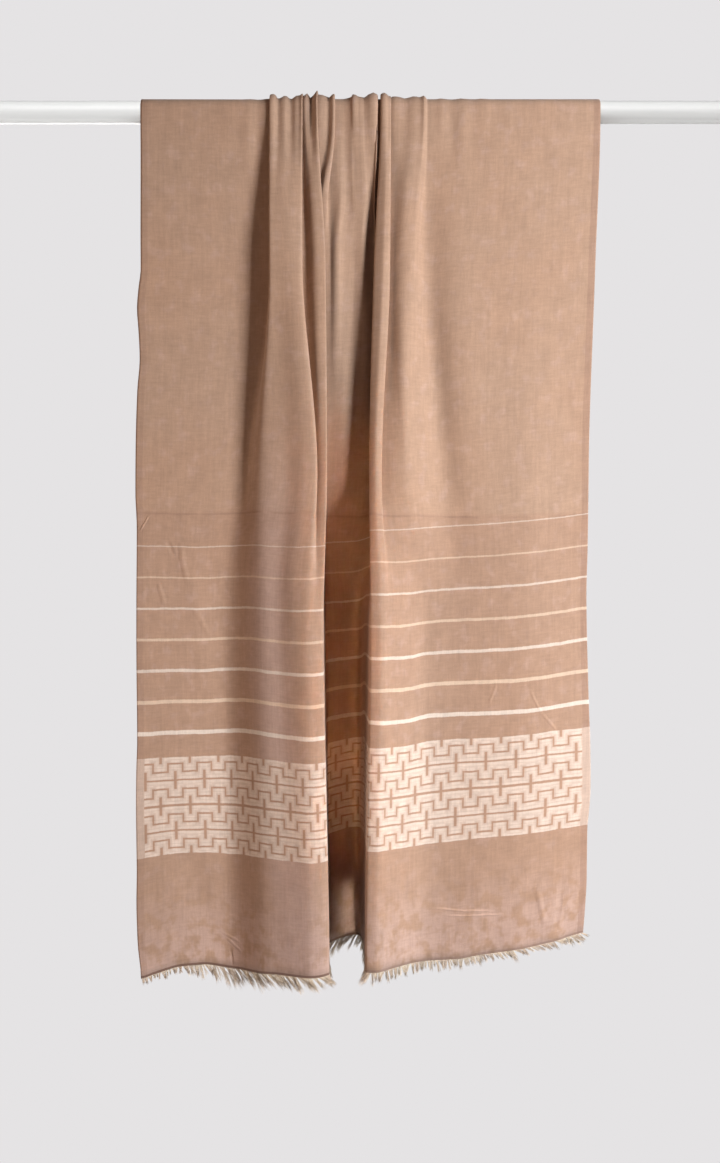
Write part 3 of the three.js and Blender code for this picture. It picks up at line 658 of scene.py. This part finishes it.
class Weave:
    """Where a point lies on the flat cloth, in mm, and what is woven there."""

    def __init__(self, g, s):
        self.g, self.s = g, s
        flat = g.split(g.node("ShaderNodeUVMap", uv_map="Cloth").outputs[0])
        across, along = g.times(flat[0], 1000.0), g.times(flat[1], 1000.0)
        self.across, self.along = across, along
        # woven lines wander by a fraction of a millimetre
        self.wander = g.patches(across, along, 0.05, 0.05, 0.0, 3.0, 0.6)
        self.ragged = g.patches(across, along, 0.9, 0.9, 5.0, 1.0)
        shift = g.plus(g.times_plus(self.wander, 2.4, -1.2), g.times_plus(self.ragged, 0.7, -0.35))
        self.from_end = g.least(along, g.minus(s.cloth_length * 1000, along))
        self.height = g.plus(self.from_end, shift)
        self.inset = g.least(across, g.minus(s.cloth_width * 1000, across))
        self.broad = g.patches(across, along, 0.006, 0.004, 2.0, 3.0, 0.55)
        turned = g.most(g.minus(across, HEM_TURN), 0.0)
        self.level = g.times_plus(turned, HEM_RISE, self.height)

    def ground(self):
        """Brown, a little darker below the tone line, in soft rosy patches, with painted cool light as a
        mauve tint on the left pleat.
        """
        g, s, height = self.g, self.s, self.height
        tone_line = s.tone_height * 1000
        ground = g.mix(g.step(self.broad, 0.35, 0.68), rgba(s.ground_colour), rgba(s.ground_warm))
        below = g.step(self.level, tone_line - TONE_BLUR, tone_line + TONE_BLUR, 1.0, 0.0)
        ground = g.mix(below, ground, g.mix(0.5, ground, rgba(s.ground_low)))
        # rosy blotches, wider and paler towards the hems
        blotch = g.patches(self.across, self.along, 0.07, 0.055, 21.0, 2.0, 0.55)
        rosy = g.step(blotch, 0.5, 0.72, 0.0, 0.28)
        low = g.step(self.from_end, 10.0, 130.0, 1.0, 0.0)
        near_hem = g.times(g.step(blotch, 0.34, 0.58, 0.0, 0.75), low)
        ground = g.mix(g.most(rosy, near_hem), ground, rgba(s.ground_rosy))
        # painted cool light: a mauve tint down the left-facing face of the left pleat, stronger towards
        # the hem
        middle = g.times_plus(g.least(height, 350.0), -0.1, 213.0)
        painted_cool_light = g.step(g.unsigned(g.minus(self.across, middle)), 8.0, 48.0, 1.0, 0.0)
        painted_cool_light = g.times(painted_cool_light, g.step(height, 420.0, 700.0, 0.5, 0.0))
        ground = g.mix(painted_cool_light, ground, rgba(s.pleat_painted_light))
        # the tone line shows here and there as one darker pick
        pick = g.unsigned(g.minus(self.level, tone_line - TONE_BLUR))
        shows = g.step(g.plus(self.wander, self.broad), 0.8, 1.1)
        pick = g.times(g.step(pick, 0.4, 1.8, 1.0, 0.0), shows)
        return g.mix(g.times(pick, 0.45), ground, rgba(s.selvedge))

    def stripes(self):
        """Where the stripes lie, and their two tints by turns."""
        g, s, height = self.g, self.s, self.height
        count = g.math("DIVIDE", g.minus(height, STRIPE_FOOT), STRIPE_GAP)
        count = g.math("FLOOR", g.plus(count, 0.5))
        count = g.least(g.most(count, 0.0), TOP_STRIPE)
        off = g.unsigned(g.minus(height, g.times_plus(count, STRIPE_GAP, STRIPE_FOOT)))
        off = g.minus(off, g.times_plus(count, -STRIPE_THINS, STRIPE_HALF))
        stripe = g.step(off, -STRIPE_BLUR, STRIPE_BLUR, 1.0, 0.0)
        stripe = g.times(stripe, g.times_plus(count, -0.07, 1.0))
        odd = g.math("FLOORED_MODULO", count, 2.0)
        return stripe, g.mix(odd, rgba(s.stripe_white), rgba(s.stripe_cream))

    def band(self):
        """The fret band: its full width, its part between the edges, lines and colour."""
        g, s = self.g, self.s
        depth = (s.band_top - s.band_foot) * 1000
        down = g.minus(s.band_top * 1000, self.height)
        sideways = g.plus(self.across, g.times_plus(self.ragged, 0.6, -0.3))
        repeat = s.fret_repeat * 1000
        fret = call_group(g, fret_group(), Across=sideways, Down=down, Repeat=repeat, Depth=depth)
        begun = g.step(down, -BAND_BLUR, BAND_BLUR)
        full = g.times(begun, g.step(down, depth - BAND_BLUR, depth + BAND_BLUR, 1.0, 0.0))
        inner = g.times(full, g.step(self.inset, EDGE_FROM, EDGE_TO))
        cream, tan = rgba(s.band_cream), rgba(s.band_tan)
        woven = g.mix(g.times(fret["Upright"], 0.36), cream, tan)
        woven = g.mix(g.times(fret["Rail"], 0.22), woven, tan)
        woven = g.mix(fret["Line"], woven, tan)
        return full, inner, g.times(fret["Line"], inner), woven

    def firm_edge(self):
        """The two edges, of finer, darker yarn, the left one fainter."""
        g, inset = self.g, self.inset
        fray = g.plus(inset, g.times_plus(self.ragged, 0.9, -0.45))
        threads = g.times_plus(g.patches(inset, self.along, 0.8, 0.02, 9.0), 0.8, 0.2)
        side = g.step(self.across, 100.0, 200.0, 0.75, 1.15)
        firm = g.times(g.step(fray, 7.6, 8.4, 1.0, 0.0), threads)
        rim = g.times(g.step(inset, 0.6, 1.6, 1.0, 0.0), 0.9)
        return g.times(g.most(g.times(firm, side), rim), 0.6)

    def hem(self):
        """The dark pick along the two hems, fainter on the right."""
        g = self.g
        held = g.step(self.from_end, 2.4, 3.2, 1.0, 0.0)
        return g.times(held, g.step(self.across, 420.0, 560.0, 0.85, 0.3))


def cloth_material(s):
    """Mauve brown wool with graded stripes, a fret band and dark selvedges."""
    material, g, shader = new_material("shawl_wool_cloth", {
        "Roughness": 0.92, "Specular IOR Level": 0.2, "Sheen Weight": 0.25,
        "Sheen Roughness": 0.5, "Sheen Tint": (1.0, 0.93, 0.88, 1),
    })
    weave = Weave(g, s)
    at = {"Across": weave.across, "Along": weave.along}
    threads = call_group(g, thread_group(), Pitch=s.thread_pitch * 1000, **at)
    creased = call_group(g, wrinkle_group(), **at)
    full, inner, lines, woven = weave.band()
    stripe, tint = weave.stripes()
    colour = g.mix(inner, weave.ground(), woven)
    colour = g.mix(weave.firm_edge(), colour, rgba(s.selvedge))
    # the band's cream shows through the firm edges
    in_edge = g.times(full, g.step(weave.inset, EDGE_FROM, EDGE_TO, 1.0, 0.0))
    colour = g.mix(g.times(in_edge, 0.5), colour, rgba(s.band_cream))
    colour = g.mix(stripe, colour, tint)
    colour = g.mix(weave.hem(), colour, rgba(s.hem_line))
    tone = g.times_plus(threads["Grain"], 0.55, 0.725)
    tone = g.times(tone, g.times_plus(threads["Streak"], 0.8, 0.6))
    # painted highlight on the wrinkles' crests and painted shade in their troughs
    tone = g.times(tone, g.plus(creased["PaintedCrestShading"], 1.0))
    colour = g.mix(1.0, colour, g.vector(tone, tone, tone), "MULTIPLY")
    relief = g.plus(threads["Height"], g.times(lines, 0.5))
    folded = bump(g, creased["Height"], 0.8, 0.001)
    g.fill(shader, {"Base Color": colour, "Normal": bump(g, relief, 0.3, 0.0004, folded)})
    return material


def fringe_material(s):
    """Loose wool ends, cream with greyer and brown ones among them."""
    material, g, shader = new_material("fringe_wool_yarn", {"Roughness": 0.95, "Sheen Weight": 0.2})
    at = g.node("ShaderNodeTexCoord").outputs["Object"]
    tone = g.node("ShaderNodeAttribute", attribute_name="tone").outputs["Fac"]
    clump = g.noise(at, 60.0, 2.0, 0.5)
    colour = g.mix(g.step(clump, 0.38, 0.62), rgba(s.yarn_grey), rgba(s.yarn_cream))
    colour = g.mix(g.step(tone, 0.8, 1.0, 0.0, 0.7), colour, rgba(s.selvedge))
    brown = g.node("ShaderNodeAttribute", attribute_name="brown").outputs["Fac"]
    colour = g.mix(brown, colour, rgba(s.stripe_cream))
    fuzz = bump(g, g.noise(at, 2500.0, 1.0), 0.3, 0.0002)
    g.fill(shader, {"Base Color": colour, "Normal": fuzz})
    return material


def rod_material(s):
    """Satin white paint with a faint brushed unevenness."""
    material, g, shader = new_material("rod_white_paint", {})
    at = g.node("ShaderNodeTexCoord").outputs["Object"]
    drawn_out = (g.times(part, per_metre) for part, per_metre in zip(g.split(at), (6.0, 300.0, 300.0)))
    streak = g.noise(g.vector(*drawn_out), 1.0, 3.0, 0.5)
    dust = g.noise(at, 900.0, 2.0, 0.6)
    colour = g.mix(g.step(streak, 0.3, 0.75), rgba(s.rod_colour), rgba(c * 0.95 for c in s.rod_colour))
    relief = bump(g, g.plus(streak, g.times(dust, 0.3)), 0.06, 0.0005)
    g.fill(shader, {
        "Base Color": colour, "Roughness": g.times_plus(dust, 0.12, 0.34), "Normal": relief,
    })
    return material


# ------------------------------------------------------------------- objects
def circle(radius, around):
    """Points round a circle, from the first axis to the second."""
    turns = [2 * math.pi * k / around for k in range(around)]
    return [(radius * math.cos(turn), radius * math.sin(turn)) for turn in turns]


def new_object(name, vertices, faces, smooth=True):
    mesh = bpy.data.meshes.new(name)
    mesh.from_pydata([tuple(v) for v in vertices], [], faces)
    mesh.validate()
    mesh.polygons.foreach_set("use_smooth", [smooth] * len(mesh.polygons))
    made = bpy.data.objects.new(name, mesh)
    bpy.context.scene.collection.objects.link(made)
    return made


def grid_normals(points):
    """Unit normals of a grid of points, facing away from the rod's plane."""
    along = np.gradient(points, axis=0)
    across = np.gradient(points, axis=1)
    normal = np.cross(across, along)
    return normal / np.maximum(np.linalg.norm(normal, axis=2, keepdims=True), 1e-12)


def shell_object(name, points, normals, wall, us, vs):
    """A closed thin shell on both sides of a grid, with its cloth UVs."""
    rows, cols = points.shape[:2]
    count = rows * cols
    sides = (points + normals * wall / 2, points - normals * wall / 2)
    vertices = np.concatenate([side.reshape(-1, 3) for side in sides])
    r, c = np.meshgrid(np.arange(rows - 1), np.arange(cols - 1), indexing="ij")
    a = (r * cols + c).ravel()
    outer = np.stack([a, a + 1, a + cols + 1, a + cols], 1)
    inner = outer[:, ::-1] + count
    faces = [outer, inner]
    top = np.arange(cols - 1)
    low = top + (rows - 1) * cols
    left = np.arange(rows - 1) * cols
    right = left + cols - 1
    faces.append(np.stack([top + 1, top, top + count, top + 1 + count], 1))
    faces.append(np.stack([low, low + 1, low + 1 + count, low + count], 1))
    faces.append(np.stack([left, left + cols, left + cols + count, left + count], 1))
    faces.append(np.stack([right + cols, right, right + count, right + cols + count], 1))
    faces = np.concatenate(faces)
    made = new_object(name, vertices, faces.tolist())
    layer = made.data.uv_layers.new(name="Cloth")
    uv = np.stack([np.tile(us.ravel(), 2), np.tile(vs.ravel(), 2)], 1)
    index = np.empty(len(made.data.loops), int)
    made.data.loops.foreach_get("vertex_index", index)
    layer.data.foreach_set("uv", uv[index].astype(np.float32).ravel())
    return made


class ShawlSettings(bpy.types.PropertyGroup):
    """Sizes and colours of the shawl."""

    def length(label, text, value):
        return bpy.props.FloatProperty(
            name=label, description=text, default=value, unit="LENGTH", precision=4,
        )

    def colour(label, text, value):
        return bpy.props.FloatVectorProperty(
            name=label, description=text, default=value, subtype="COLOR", size=3, min=0, max=1,
        )

    cloth_width: length("Width", "Cloth from edge to edge", 0.8)
    cloth_length: length("Length", "Cloth from hem to hem", 2.0)
    cloth_wall: length("Thickness", "Thickness of the cloth", 0.001)
    thread_pitch: length("Thread pitch", "Distance from one thread to the next", 0.00055)
    fret_repeat: length("Fret repeat", "Width of one repeat of the fret", 0.03516)
    band_foot: length("Band foot", "Height of the fret band's foot above the hem", 0.138)
    band_top: length("Band top", "Height of the fret band's top above the hem", 0.251)
    tone_height: length("Tone line", "Height above the hem where the ground turns pinker", 0.542)
    ground_colour: colour("Ground", "Main colour of the cloth", (0.43, 0.30, 0.22))
    ground_warm: colour("Ground, warm", "Warmer patches of the ground", (0.445, 0.298, 0.212))
    ground_low: colour("Ground, low", "Ground near the ends", (0.4, 0.26, 0.187))
    stripe_white: colour("White stripe", "Every other stripe", (0.72, 0.64, 0.565))
    stripe_cream: colour("Cream stripe", "The stripes between", (0.68, 0.54, 0.42))
    # painted cool light: the mauve tint laid on the left pleat's face
    pleat_painted_light: colour("Ground, mauve", "Mauve bloom on the left pleat", (0.53, 0.395, 0.36))
    ground_rosy: colour("Ground, rosy", "Soft rosy blotches of the ground", (0.53, 0.385, 0.335))
    band_cream: colour("Band ground", "Cream ground of the fret band", (0.70, 0.60, 0.525))
    band_tan: colour("Fret", "Lines of the fret", (0.43, 0.28, 0.20))
    selvedge: colour("Selvedge", "Darker yarn of the firm edges", (0.30, 0.19, 0.145))
    hem_line: colour("Hem line", "Dark pick that holds the hem", (0.2, 0.105, 0.07))
    yarn_cream: colour("Fringe, cream", "Light ends of the fringe", (0.72, 0.63, 0.50))
    yarn_grey: colour("Fringe, grey", "Greyer ends of the fringe", (0.60, 0.50, 0.40))
    rod_colour: colour("Rod", "Paint of the rod", (0.86, 0.86, 0.85))


class SHAWL_OT_rod(bpy.types.Operator):
    """Turn the white rod, with small rounded arrises at its cut ends"""

    bl_idname = "shawl.rod"
    bl_label = "Rod"

    def execute(self, context):
        s = context.scene.shawl_settings
        radius = (ROD_HIGH.z - ROD_LOW.z) / 2
        arris, arris_steps, body_rings, around = 0.0012, 4, 24, 96
        profile = [(ROD_LOW.x, 0.0), (ROD_LOW.x, radius - arris)]
        for k in range(1, arris_steps + 1):
            a = math.pi / 2 * k / arris_steps
            profile.append((ROD_LOW.x + arris * (1 - math.cos(a)), radius - arris + arris * math.sin(a)))
        end = [(ROD_LOW.x + ROD_HIGH.x - x, r) for x, r in reversed(profile)]
        body = np.linspace(ROD_LOW.x + arris, ROD_HIGH.x - arris, body_rings)[1:-1]
        profile += [(x, radius) for x in body] + end
        verts, rings = [], []
        for x, r in profile:
            if r == 0.0:
                rings.append([len(verts)] * around)
                verts.append((x, 0, 0))
            else:
                rings.append(list(range(len(verts), len(verts) + around)))
                verts += [(x, y, z) for y, z in circle(r, around)]
        faces = []
        for a, b in zip(rings, rings[1:]):
            for k in range(around):
                n = (k + 1) % around
                ring = [a[k], a[n], b[n], b[k]]
                faces.append(list(dict.fromkeys(ring)))
        rod = new_object("white_rod", verts, faces)
        bm = bmesh.new()
        bm.from_mesh(rod.data)
        bmesh.ops.recalc_face_normals(bm, faces=bm.faces)
        bm.to_mesh(rod.data)
        bm.free()
        rod.data.materials.append(rod_material(s))
        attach(rod, "root")
        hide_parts("hanging_rod")
        return {"FINISHED"}


class SHAWL_OT_cloth(bpy.types.Operator):
    """Hang the cloth over the rod as one thin shell"""

    bl_idname = "shawl.cloth"
    bl_label = "Cloth"

    def execute(self, context):
        s = context.scene.shawl_settings
        drape = Drape(s.cloth_width * 1000, s.cloth_length * 1000)
        points, us, along = drape.grid(*MESH_ROWS)
        points = points * MM
        made = shell_object("shawl_cloth", points, grid_normals(points), s.cloth_wall, us * MM, along * MM)
        if len(made.data.polygons) * 2 > MOST_TRIANGLES:
            raise RuntimeError("the cloth has too many faces")
        made.data.materials.append(cloth_material(s))
        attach(made, "root")
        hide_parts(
            "shawl_over_rod", "front_left", "front_middle", "front_right",
            "back_left", "back_middle", "back_right",
        )
        return {"FINISHED"}


# What the fringe's node tree is given: lengths in m, Spread in radians.
FRINGE_SIZES = {
    "Spacing": 0.00017, "Yarn radius": 0.00016, "Tuft width": 0.0032, "Gather": 0.7,
    "Spread": 0.34, "Unevenness": 0.3,
}


def fringe_tree():
    """Geometry Nodes: short leaning yarn ends, gathered in tufts, along a hem."""
    tree = bpy.data.node_groups.new("hem_fringe", "GeometryNodeTree")
    face = tree.interface
    face.new_socket(name="Geometry", in_out="INPUT", socket_type="NodeSocketGeometry")
    for label, value in FRINGE_SIZES.items():
        face.new_socket(name=label, in_out="INPUT", socket_type="NodeSocketFloat").default_value = value
    face.new_socket(name="Seed", in_out="INPUT", socket_type="NodeSocketInt").default_value = 3
    face.new_socket(name="Yarn", in_out="INPUT", socket_type="NodeSocketMaterial")
    face.new_socket(name="Geometry", in_out="OUTPUT", socket_type="NodeSocketGeometry")
    g = Graph(tree)
    given, out = g.node("NodeGroupInput").outputs, g.node("NodeGroupOutput").inputs

    def chance(low, high, salt, which=None):
        inputs = {2: low, 3: high, "ID": which, "Seed": g.plus(given["Seed"], float(salt))}
        return g.node("FunctionNodeRandomValue", inputs, data_type="FLOAT").outputs[1]

    def carried(label):
        return g.node("GeometryNodeInputNamedAttribute", {"Name": label}, data_type="FLOAT").outputs[0]

    def rotation(x, y, z):
        return g.node("FunctionNodeEulerToRotation", {0: g.vector(x, y, z)}).outputs[0]

    def turn_further(start, by):
        made = g.node("FunctionNodeRotateRotation", {0: start, 1: by}, rotation_space="LOCAL")
        return made.outputs[0]

    # one yarn end, hanging one unit down and thinning to its tip
    yarn = g.node("GeometryNodeCurveQuadraticBezier", {
        "Resolution": 4, "Start": (0, 0, 0.04), "Middle": (0, 0, -0.5), "End": (0.2, 0, -1.0),
    })
    param = g.node("GeometryNodeSplineParameter").outputs["Factor"]
    thickness = g.minus(1.0, g.times(g.math("POWER", param, 2.0), 0.6))
    thin = g.node("GeometryNodeSetCurveRadius", {"Curve": yarn.outputs[0], "Radius": thickness})
    ring = g.node("GeometryNodeCurvePrimitiveCircle", {"Resolution": 3, "Radius": 1.0})
    solid = g.node("GeometryNodeCurveToMesh", {
        "Curve": thin.outputs[0], "Profile Curve": ring.outputs[0], "Fill Caps": True,
    })

    line = g.node("GeometryNodeMeshToCurve", {0: given["Geometry"]})
    spaced = {"Curve": line.outputs[0], "Length": given["Spacing"]}
    spread = g.node("GeometryNodeResampleCurve", spaced, mode="LENGTH")
    tangent = g.node("GeometryNodeInputTangent").outputs[0]
    walked = g.node("GeometryNodeSplineParameter").outputs["Length"]

    # tufts of uneven width
    wobble = g.node("ShaderNodeTexNoise", noise_dimensions="1D")
    g.fill(wobble, {"Scale": 130.0, "W": walked})
    uneven_width = g.times(wobble.outputs["Fac"], 1.6)
    tuft = g.plus(g.math("DIVIDE", walked, given["Tuft width"]), uneven_width)
    which = g.math("FLOOR", tuft)
    aside = g.minus(g.minus(tuft, which), 0.5)

    uneven = given["Unevenness"]
    longer = g.times(chance(-1.0, 0.8, 1, which), uneven)
    longer = g.plus(longer, g.times(chance(-1.0, 0.6, 2), g.times(uneven, 0.8)))
    length = g.times(carried("reach"), g.plus(1.0, longer))
    lean = g.plus(carried("lean"), g.times(chance(-1.0, 1.0, 3, which), given["Spread"]))
    lean = g.plus(lean, chance(-0.14, 0.14, 4))
    pull = g.math("DIVIDE", g.times(aside, given["Tuft width"]), length)
    lean = g.minus(lean, g.times(pull, given["Gather"]))
    sway = g.plus(chance(-0.2, 0.2, 5, which), chance(-0.1, 0.1, 6))
    # the yarn's own frame: x along the hem, z up
    along = g.node("FunctionNodeAlignRotationToVector", axis="X", pivot_axis="Z")
    g.put(along.inputs["Vector"], tangent)
    turn = turn_further(along.outputs[0], rotation(sway, g.times(lean, -1.0), 0.0))
    turn = turn_further(turn, rotation(0.0, 0.0, chance(-1.2, 1.2, 7, which)))
    thick = g.times(given["Yarn radius"], chance(0.7, 1.3, 8))
    copies = g.node("GeometryNodeInstanceOnPoints", {
        "Points": spread.outputs[0], "Instance": solid.outputs[0],
        "Rotation": turn, "Scale": g.vector(thick, thick, length),
    })
    dye = {"Geometry": copies.outputs[0], "Name": "tone", "Value": chance(0.0, 1.0, 9)}
    dyed = g.node("GeometryNodeStoreNamedAttribute", dye, data_type="FLOAT", domain="INSTANCE")
    real = g.node("GeometryNodeRealizeInstances", {0: dyed.outputs[0]})
    paint = g.node("GeometryNodeSetMaterial", {"Geometry": real.outputs[0], "Material": given["Yarn"]})
    g.put(out[0], paint.outputs[0])
    return tree


def grow(name, line, tree, values):
    """Apply a Geometry Nodes tree to a line object and keep a plain mesh."""
    modifier = line.modifiers.new("grow", "NODES")
    modifier.node_group = tree
    entries = [item for item in tree.interface.items_tree if item.item_type == "SOCKET"]
    sockets = {item.name: item.identifier for item in entries if item.in_out == "INPUT"}
    for label, value in values.items():
        modifier[sockets[label]] = value
    bpy.context.view_layer.update()
    mesh = bpy.data.meshes.new_from_object(line.evaluated_get(bpy.context.evaluated_depsgraph_get()))
    if not mesh.polygons:
        raise RuntimeError(f"{name} came out empty")
    mesh.name = name
    line.modifiers.remove(modifier)
    bpy.data.objects.remove(line)
    made = bpy.data.objects.new(name, mesh)
    bpy.context.scene.collection.objects.link(made)
    return made


# Along each hem: place across the cloth and the fringe's reach there, in mm,
# and how far it leans to the right, in degrees.
FRONT_FRINGE = (
    (0, 7, 20), (12, 6, 20), (30, 7, 10), (45, 9, 10), (75, 13, 22), (105, 19, 34), (140, 20, 44),
    (165, 19, 48), (200, 16, 46), (232, 13, 42), (244, 13, 48), (250, 17, 44), (262, 15, 30),
    (270, 12, -12), (340, 15, -34), (420, 16, -40), (500, 13, -34), (518, 13, -40), (528, 14, -30),
    (536, 10, -6), (560, 10, 8), (600, 9, -4), (650, 10, 10), (690, 7, 22), (705, 12, 44), (722, 9, 52),
    (740, 8, 50), (790, 10, 56), (800, 12, 58),
)
BACK_FRINGE = (
    (0, 10, -30), (60, 13, 10), (130, 16, 30), (220, 12, 25), (300, 14, -15), (380, 16, -30),
    (470, 12, 5), (540, 15, 25), (640, 11, 35), (720, 14, 10), (780, 10, 30), (800, 12, 45),
)
# The brown corner tufts of the two pleats: across, and how much brown.
BROWN_TUFTS = (
    (0, 0), (248, 0), (250, 0.75), (262, 0.75), (270, 0), (518, 0), (528, 0.75), (536, 0), (800, 0),
)
# The line the fringe grows from: how far inside the left edge it starts and
# inside the right one it ends, and the distance between its points, in mm.
ROOTS_FROM, ROOTS_SHORT, ROOTS_APART = 0.6, 0.4, 1.2
# Name, whether it is the back one, its table and its random seed.
HEMS = (("front_fringe", False, FRONT_FRINGE, 3), ("back_fringe", True, BACK_FRINGE, 11))


class SHAWL_OT_fringe(bpy.types.Operator):
    """Grow the short fringe along both hems"""

    bl_idname = "shawl.fringe"
    bl_label = "Fringe"

    def execute(self, context):
        s = context.scene.shawl_settings
        drape = Drape(s.cloth_width * 1000, s.cloth_length * 1000)
        tree = fringe_tree()
        yarn = fringe_material(s)
        for name, back, table, seed in HEMS:
            lowest = (BACK_STATIONS if back else FRONT_STATIONS)[-1]
            us = np.arange(ROOTS_FROM, drape.width - ROOTS_SHORT, ROOTS_APART)
            points = drape.row(back, lowest, us=us)[0] * MM
            mesh = bpy.data.meshes.new(name + "_line")
            mesh.from_pydata(points.tolist(), [(i, i + 1) for i in range(len(us) - 1)], [])
            across, reach, lean = np.array(table, float).T
            dark = np.interp(across, *np.array(BROWN_TUFTS, float).T) if not back else across * 0
            for label, values in (("reach", reach * MM), ("lean", np.radians(lean)), ("brown", dark)):
                here = np.interp(us, across, values).astype(np.float32)
                mesh.attributes.new(label, "FLOAT", "POINT").data.foreach_set("value", here)
            line = bpy.data.objects.new(name + "_line", mesh)
            context.scene.collection.objects.link(line)
            made = grow(name, line, tree, dict(FRINGE_SIZES, Seed=seed, Yarn=yarn))
            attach(made, "root")
            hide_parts(*(f"{name}_{side}" for side in ("left", "middle", "right")))
        return {"FINISHED"}


# --------------------------------------------------------------------- stage
PALE = (0.783, 0.768, 0.776)
# Which pieces each group of lamps lights.
LIT_PIECES = {
    "cloth": ("shawl_cloth", "front_fringe", "back_fringe"),
    "fringe": ("front_fringe", "back_fringe"),
    "rod": ("white_rod",),
}
# The lamps: name, place, the point it faces, width and height, watts, colour,
# the group of pieces it lights and how far it fans out, in degrees.
LAMPS = (
    ("window", (1.12, -0.92, -0.55), (0, 0, -0.6), (0.45, 1.7), 40, (1.0, 0.95, 0.93), "cloth", 180),
    ("warm_bounce", (-0.1, -2.6, -0.9), (0, 0, -0.6), (2.2, 2.0), 3, (1.0, 0.4, 0.2), "cloth", 180),
    ("low_side", (-1.7, -0.9, -0.6), (0, 0, -0.6), (0.8, 1.6), 12, (1.0, 0.68, 0.5), "cloth", 180),
    ("fringe_soft", (-0.3, -1.8, -1), (0, 0, -1), (1.2, 0.8), 6, (1.0, 0.98, 0.94), "fringe", 180),
    ("rod_soft", (-0.1, -2.6, 0.9), (0, 0, 0), (3.0, 1.2), 79, (1.0, 1.0, 1.0), "rod", 180),
    ("rod_fill", (-0.1, -2.4, -1.1), (0, 0, 0), (3.0, 1.4), 24, (1.0, 1.0, 1.0), "rod", 180),
    ("rod_under", (-0.1, 0.52, -1.3), (0, 0, 0), (3.0, 0.5), 25, (1.0, 1.0, 1.0), "rod", 180),
    (
        "recess_glow", (-0.028, -2.2, -0.63), (-0.028, 0, -0.63), (0.05, 0.52), 0.047,
        (1.0, 0.41, 0.18), "cloth", 4,
    ),
    (
        "recess_foot", (-0.028, -1.0, -0.97), (-0.028, 0, -0.97), (0.016, 0.06), 0.003,
        (1.0, 0.86, 0.7), "cloth", 2,
    ),
    ("rear", (-0.9, 2.2, 0.1), (0, 0, -0.5), (1.2, 1.8), 40, (1.0, 0.97, 0.94), None, 180),
)


def seen_apart(g, seen, lit, end):
    """Show one shader to the camera, and light the scene with another."""
    to_camera = g.node("ShaderNodeLightPath").outputs["Is Camera Ray"]
    either = g.node("ShaderNodeMixShader", {0: to_camera, 1: lit.outputs[0], 2: seen.outputs[0]})
    g.put(end, either.outputs[0])


def set_surroundings(scene):
    scene.world = bpy.data.worlds.new("pale_surroundings")
    g = empty_graph(scene.world)
    seen = g.node("ShaderNodeBackground", {0: rgba(PALE)})
    lit = g.node("ShaderNodeBackground", {0: (1.0, 0.97, 0.95, 1), 1: 0.04})
    seen_apart(g, seen, lit, g.node("ShaderNodeOutputWorld").inputs[0])


def lay_floor():
    """A wide round floor well below the fringe, as pale as the surroundings."""
    around, radius, level = 96, 9.0, -1.35
    rim = [(x, y, level) for x, y in circle(radius, around)]
    floor = new_object("pale_floor", rim, [list(range(around))], smooth=False)
    material = bpy.data.materials.new("pale_floor_paint")
    g = empty_graph(material)
    glow = g.node("ShaderNodeEmission", {0: rgba(PALE)})
    matt = g.node("ShaderNodeBsdfDiffuse", {0: (0.6, 0.59, 0.595, 1)})
    seen_apart(g, glow, matt, g.node("ShaderNodeOutputMaterial").inputs["Surface"])
    floor.data.materials.append(material)


def hang_lamps(scene):
    groups = {None: None}
    for label, pieces in LIT_PIECES.items():
        groups[label] = bpy.data.collections.new("lit_by_" + label + "_lamps")
        for piece in pieces:
            groups[label].objects.link(bpy.data.objects[piece])
    for name, place, target, size, watts, colour, lights, spread in LAMPS:
        light = bpy.data.lights.new(name, "AREA")
        light.shape = "RECTANGLE"
        light.spread = math.radians(spread)
        light.size, light.size_y = size
        light.energy, light.color = watts, colour
        made = bpy.data.objects.new(name, light)
        scene.collection.objects.link(made)
        made.location = place
        made.rotation_euler = (Vector(target) - Vector(place)).to_track_quat("-Z", "Y").to_euler()
        if lights:
            made.light_linking.receiver_collection = groups[lights]


def set_camera(scene):
    camera = bpy.data.cameras.new("camera")
    camera.sensor_width = 36.0
    camera.lens = 27.12
    camera.shift_y = 0.0099
    camera.clip_end = 60
    eye = bpy.data.objects.new("camera", camera)
    scene.collection.objects.link(eye)
    eye.location = (-0.0129, -1.032, -0.566)
    eye.rotation_euler = (math.pi / 2, 0, 0)
    scene.camera = eye


class SHAWL_OT_stage(bpy.types.Operator):
    """Set the pale floor, the soft lights, the surroundings and the camera"""

    bl_idname = "shawl.stage"
    bl_label = "Stage"

    def execute(self, context):
        scene = context.scene
        scene.view_settings.view_transform = "Standard"
        scene.view_settings.look = "None"
        set_surroundings(scene)
        lay_floor()
        hang_lamps(scene)
        set_camera(scene)
        return {"FINISHED"}


class SHAWL_PT_panel(bpy.types.Panel):
    """Sizes, colours and pieces of the shawl"""

    bl_idname = "SHAWL_PT_panel"
    bl_label = "Shawl on a Rod"
    bl_space_type = "VIEW_3D"
    bl_region_type = "UI"
    bl_category = "Shawl"

    def draw(self, context):
        s = context.scene.shawl_settings
        for key in s.bl_rna.properties.keys():
            if key not in {"rna_type", "name"}:
                self.layout.prop(s, key)
        for operator in OPERATORS:
            self.layout.operator(operator.bl_idname)


OPERATORS = (SHAWL_OT_rod, SHAWL_OT_cloth, SHAWL_OT_fringe, SHAWL_OT_stage)
CLASSES = (ShawlSettings,) + OPERATORS + (SHAWL_PT_panel,)


def register():
    for item in CLASSES:
        bpy.utils.register_class(item)
    bpy.types.Scene.shawl_settings = bpy.props.PointerProperty(type=ShawlSettings)


def unregister():
    del bpy.types.Scene.shawl_settings
    for item in reversed(CLASSES):
        bpy.utils.unregister_class(item)


def main():
    register()
    for operator in (bpy.ops.shawl.rod, bpy.ops.shawl.cloth, bpy.ops.shawl.fringe, bpy.ops.shawl.stage):
        operator()


if __name__ == "__main__":
    main()
